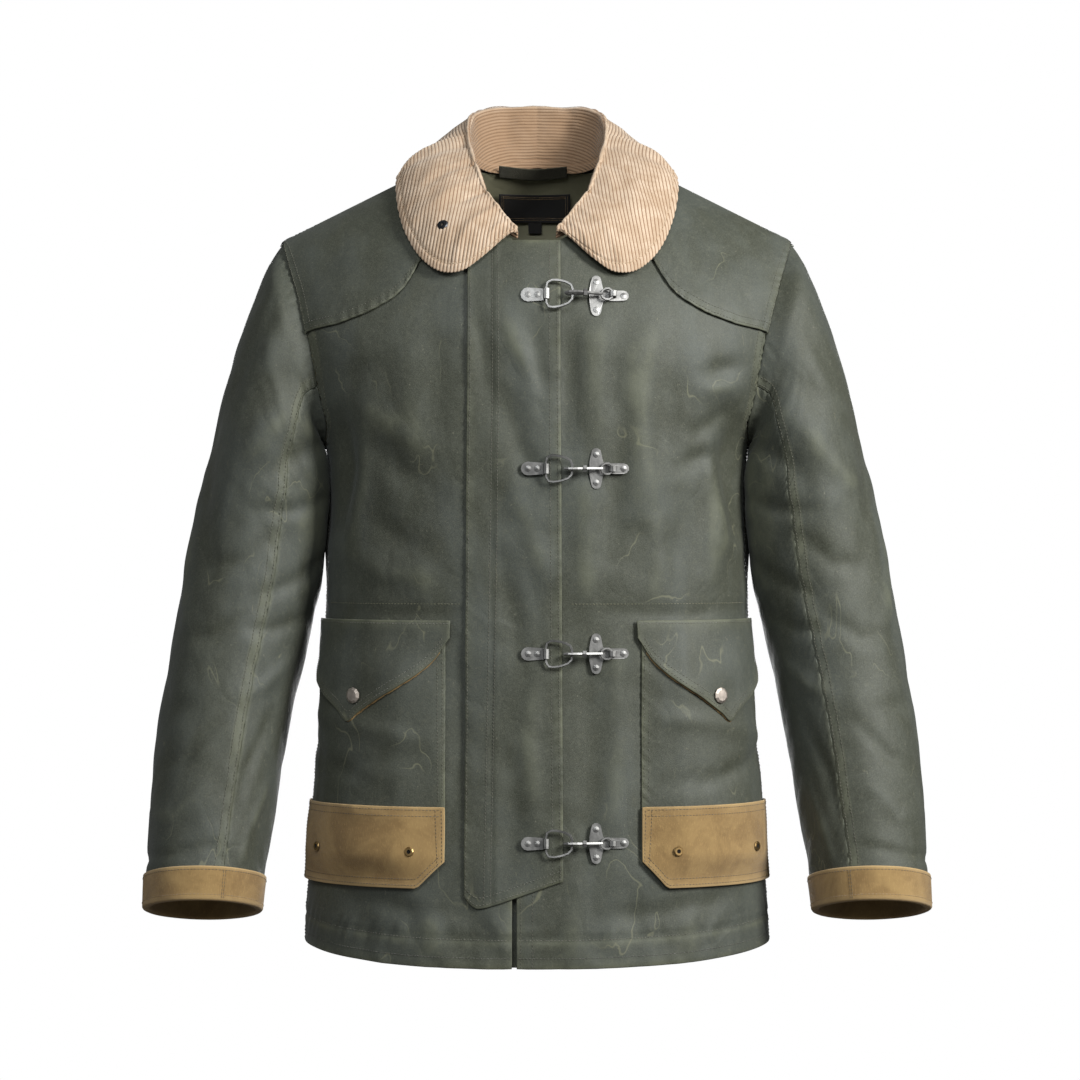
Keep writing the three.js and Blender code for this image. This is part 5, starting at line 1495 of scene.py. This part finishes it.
def make_collar():
    half = 330
    count = 68
    at = np.linspace(0, 1, half)
    right = collar_stations(at, -1)
    left = collar_stations(at[:-1][::-1], 1)
    path = np.concatenate([right, left])
    station = np.concatenate([at, at[:-1][::-1]])
    grid, far = along_curve(path, count)
    n = normals_of(grid, (0, 0, 0))
    # the stand's outside faces the neck, so one rule for the whole wall: outward on the fall
    rough = grid
    # wales follow the collar's length round the back and stand nearly upright in front
    front_phase = np.abs(rough[..., 0]) + 0.16 * rough[..., 2]
    back_phase = 66 + far
    blend = ease(0.60, 0.84, station)[:, None]
    phase = lerp(front_phase, back_phase, blend)
    stand_phase = far + 0.0
    over_roll = ease(-1.5, 1.5, far)
    seed = 0.5 * np.sin(station * 40)[:, None]
    fall_wave = np.cos(2 * PI * phase / WALE + seed)
    stand_wave = np.cos(2 * PI * stand_phase / WALE)
    wave = lerp(stand_wave, fall_wave, over_roll)
    rib = np.sqrt(np.clip((wave + 1) / 2, 0, 1))
    # the mesh itself is ribbed where its points lie close enough, on the front falls
    ribbed = over_roll * (1 - blend)
    edge = edge_distance(grid, "lrt")
    low_seam = edge_distance(grid, "b")
    rim = ease(0.8, 3.4, edge)
    stitched = np.exp(-(((edge - 8.2) / 1.3) ** 2))
    soft = np.zeros(far.shape)
    for p, width, height in COLLAR_CREASES:
        points = np.array(p)
        centre = np.interp(far, points[:, 1], points[:, 0])
        inside = ease(points[0, 1] - 14, points[0, 1] + 6, far)
        inside = inside * (1 - ease(points[-1, 1] - 8, points[-1, 1] + 14, far))
        soft += height * inside * np.exp(-(((station[:, None] - centre) / width) ** 2))
    soft = soft + ripple(grid[..., 0] * 1.2, grid[..., 2] + far, [(46, 0.7), (22, 0.3)], 0.8)
    soft = soft * ease(0, 12, low_seam)
    rib_height = 0.95 * ribbed * (rib - 0.5) * (0.35 + 0.65 * rim) * (1 - 0.6 * stitched)
    lift = soft - 0.9 * stitched + 0.25
    ragged = 0.9 * np.cos(2 * PI * phase / WALE + seed)[:, -1]
    grid = grid + n * lift[..., None]
    grid[:, -1] += unit(grid[:, -1] - grid[:, -2]) * (0.35 * ragged)[:, None]
    wear = np.clip(0.7 * np.exp(-((edge / 2.2) ** 2)) + 0.5 * stitched, 0, 1)
    thick = COLLAR_HALF * np.clip(0.72 + 0.28 * ease(0, 5, edge), 0, 1)
    high = thick + rib_height
    low = -thick - 0.35 * rib_height
    pieces = []
    cuts = [0, 220, 440, len(grid)]
    for k in range(3):
        a, b = cuts[k], min(cuts[k + 1] + (1 if k < 2 else 0), len(grid))
        part = slice(a, b)
        replaced = ["collar"] if k == 0 else None
        pieces.append((part, replaced))
    made = []
    for k, (part, replaced) in enumerate(pieces):
        obj, _ = shell(
            "collar_fine_%d" % (k + 1), grid[part], n[part], low[part], high[part], CORD,
            "corduroy", replaced or (), wear=wear[part],
            floats={
                "fall_turn": (2 * PI * phase / WALE + seed)[part],
                "stand_turn": (2 * PI * stand_phase / WALE)[part],
                "over": over_roll[part],
                "flat": ((1 - ribbed) * (1 - stitched))[part],
                # the stand's mask, which the cord material uses to paint shade on the stand
                "stand": (1 - ease(-9, 2, far))[part],
            },
        )
        made.append(obj)
    for obj, (part, _), flat in zip(made, pieces, ((180, 130), (300, 175), (180, 130))):
        as_sheet(obj, *flat, "folded", grid_area(grid[part]))
    # a row of stitching sunk in its groove
    for i0, i1 in ((4, len(grid) - 4),):
        points, ups = row_at(grid[i0:i1], n[i0:i1], 8.2, "r")
        stitch_row(points + unit(ups) * (COLLAR_HALF + 0.15), ups, CREAM_THREAD, radius=0.4)


NECK_TRIMS = [
    ("hanger_loop", -38, 30, 46, 55, 1.6, INSIDE, "inside", (125, 10)),
    ("neck_label", -38.6, 33.7, 5, 31.3, 2.8, LABEL, "label", (86, 28)),
    ("size_tab", -8.5, 4.1, -6.4, 3.9, 2.6, LABEL, "label", (13, 10.5)),
]


def make_neck_trims():
    thick = 1.0
    for name, x0, x1, low, high, gap, material, slot, flat in NECK_TRIMS:
        def place(u, t):
            z = lerp(low, high, t)
            return angle_at(lerp(x0, x1, u), z), z

        def droop(u, t, plain):
            if name != "hanger_loop":
                return np.zeros(u.shape)
            return -1.6 * np.sin(PI * u) ** 2

        obj, grid, n = lay_patch(name, 48, 20, place, -thick - gap, thick, material, slot, -1,
                                 extra=droop, wear_share=0.3)
        as_sheet(obj, *flat, "laid", 0.96 * flat[0] * flat[1], ["back_panel"])
        if name == "neck_label":
            for distance in (2.4, 4.4):
                for edge in "lrbt":
                    points, ups = row_at(grid, n, distance, edge, 0.05, 0.95)
                    stitch_row(points - unit(ups) * 0.05, -ups, TAN_THREAD, length=1.6,
                               pitch=1.7, radius=0.22)


make_collar()
make_neck_trims()


# Metal parts keep their solids. A dark disc of painted shade stands in for the shaded hole through each
# ring.

FINISHES = {
    "clasp_": STEEL,
    "pocket_snap_": SNAP,
    "grommet_": BRASS,
    "collar_eyelet": GUNMETAL,
}


def finish_metals():
    for name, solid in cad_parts.items():
        for start, material in FINISHES.items():
            if name.startswith(start):
                for place in solid.material_slots:
                    place.material = material


# a disc of painted shade inside a ring, where the hole through it is dark
def paint_hole_shade(name, radius):
    points = np.array([v.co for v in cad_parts[name].data.vertices]) / MM
    middle = points.mean(0)
    across, up, axis = np.linalg.svd(points - middle)[2]
    turns = np.linspace(0, 2 * PI, 25)[:-1]
    circle = np.cos(turns)[:, None] * across + np.sin(turns)[:, None] * up
    rings = [middle + circle * radius * share for share in (1, 0.66, 0.33, 0.02)]
    make_mesh(name + "_hole", np.concatenate(rings), grid_quads(4, 24, True), HOLE_SHADE, "inside",
              uv=np.concatenate(rings)[:, :2])


finish_metals()
for word in ("right", "left"):
    for end in ("inner", "outer"):
        paint_hole_shade("grommet_%s_%s" % (word, end), 2.6)
paint_hole_shade("collar_eyelet", 2.9)


# Camera, white world and lights

scene = bpy.context.scene
camera_data = bpy.data.cameras.new("camera")
camera_data.lens = 109.97
camera_data.sensor_width = 36
camera = bpy.data.objects.new("camera", camera_data)
camera.location = (0.0029, -3.2, -0.31525)
camera.rotation_euler = (HALF_PI, 0, 0)
scene.collection.objects.link(camera)
scene.camera = camera

world = bpy.data.worlds.new("white studio")
scene.world = world
world.use_nodes = True
tree = world.node_tree
seen = tree.nodes.new("ShaderNodeLightPath").outputs["Is Camera Ray"]
background = tree.nodes["Background"]
background.inputs["Color"].default_value = (1, 1, 1, 1)
tree.links.new(sum_of(tree, "MULTIPLY_ADD", seen, 0.85, 0.15), background.inputs["Strength"])


def area_light(name, place, aim, size, power, colour):
    data = bpy.data.lights.new(name, "AREA")
    data.shape = "RECTANGLE"
    data.size, data.size_y = size
    data.energy = power
    data.color = colour
    lamp = bpy.data.objects.new(name, data)
    lamp.location = place
    direction = np.array(aim, float) - np.array(place, float)
    yaw = math.atan2(direction[0], -direction[1])
    tilt = math.atan2(math.hypot(direction[0], direction[1]), -direction[2])
    lamp.rotation_euler = (tilt, 0, PI + yaw)
    scene.collection.objects.link(lamp)


area_light("key", (2.2, -1.8, 1.0), (0.0, 0.0, -0.15), (0.8, 1.3), 152, (1, 0.99, 0.97))
area_light("top", (-0.5, -2.5, 1.3), (0.0, 0.0, -0.2), (1.6, 0.8), 38, (0.96, 0.98, 1))
area_light("behind", (0.0, 3.2, 0.0), (0.0, 0.0, -0.3), (2.0, 1.6), 110, (1, 1, 1))
area_light("fill", (-2.6, -1.6, 0.5), (0.0, 0.0, -0.3), (1.0, 1.6), 5, (0.94, 0.97, 1))

scene.view_settings.view_transform = "Standard"
scene.view_settings.look = "None"

stitches_into_meshes()
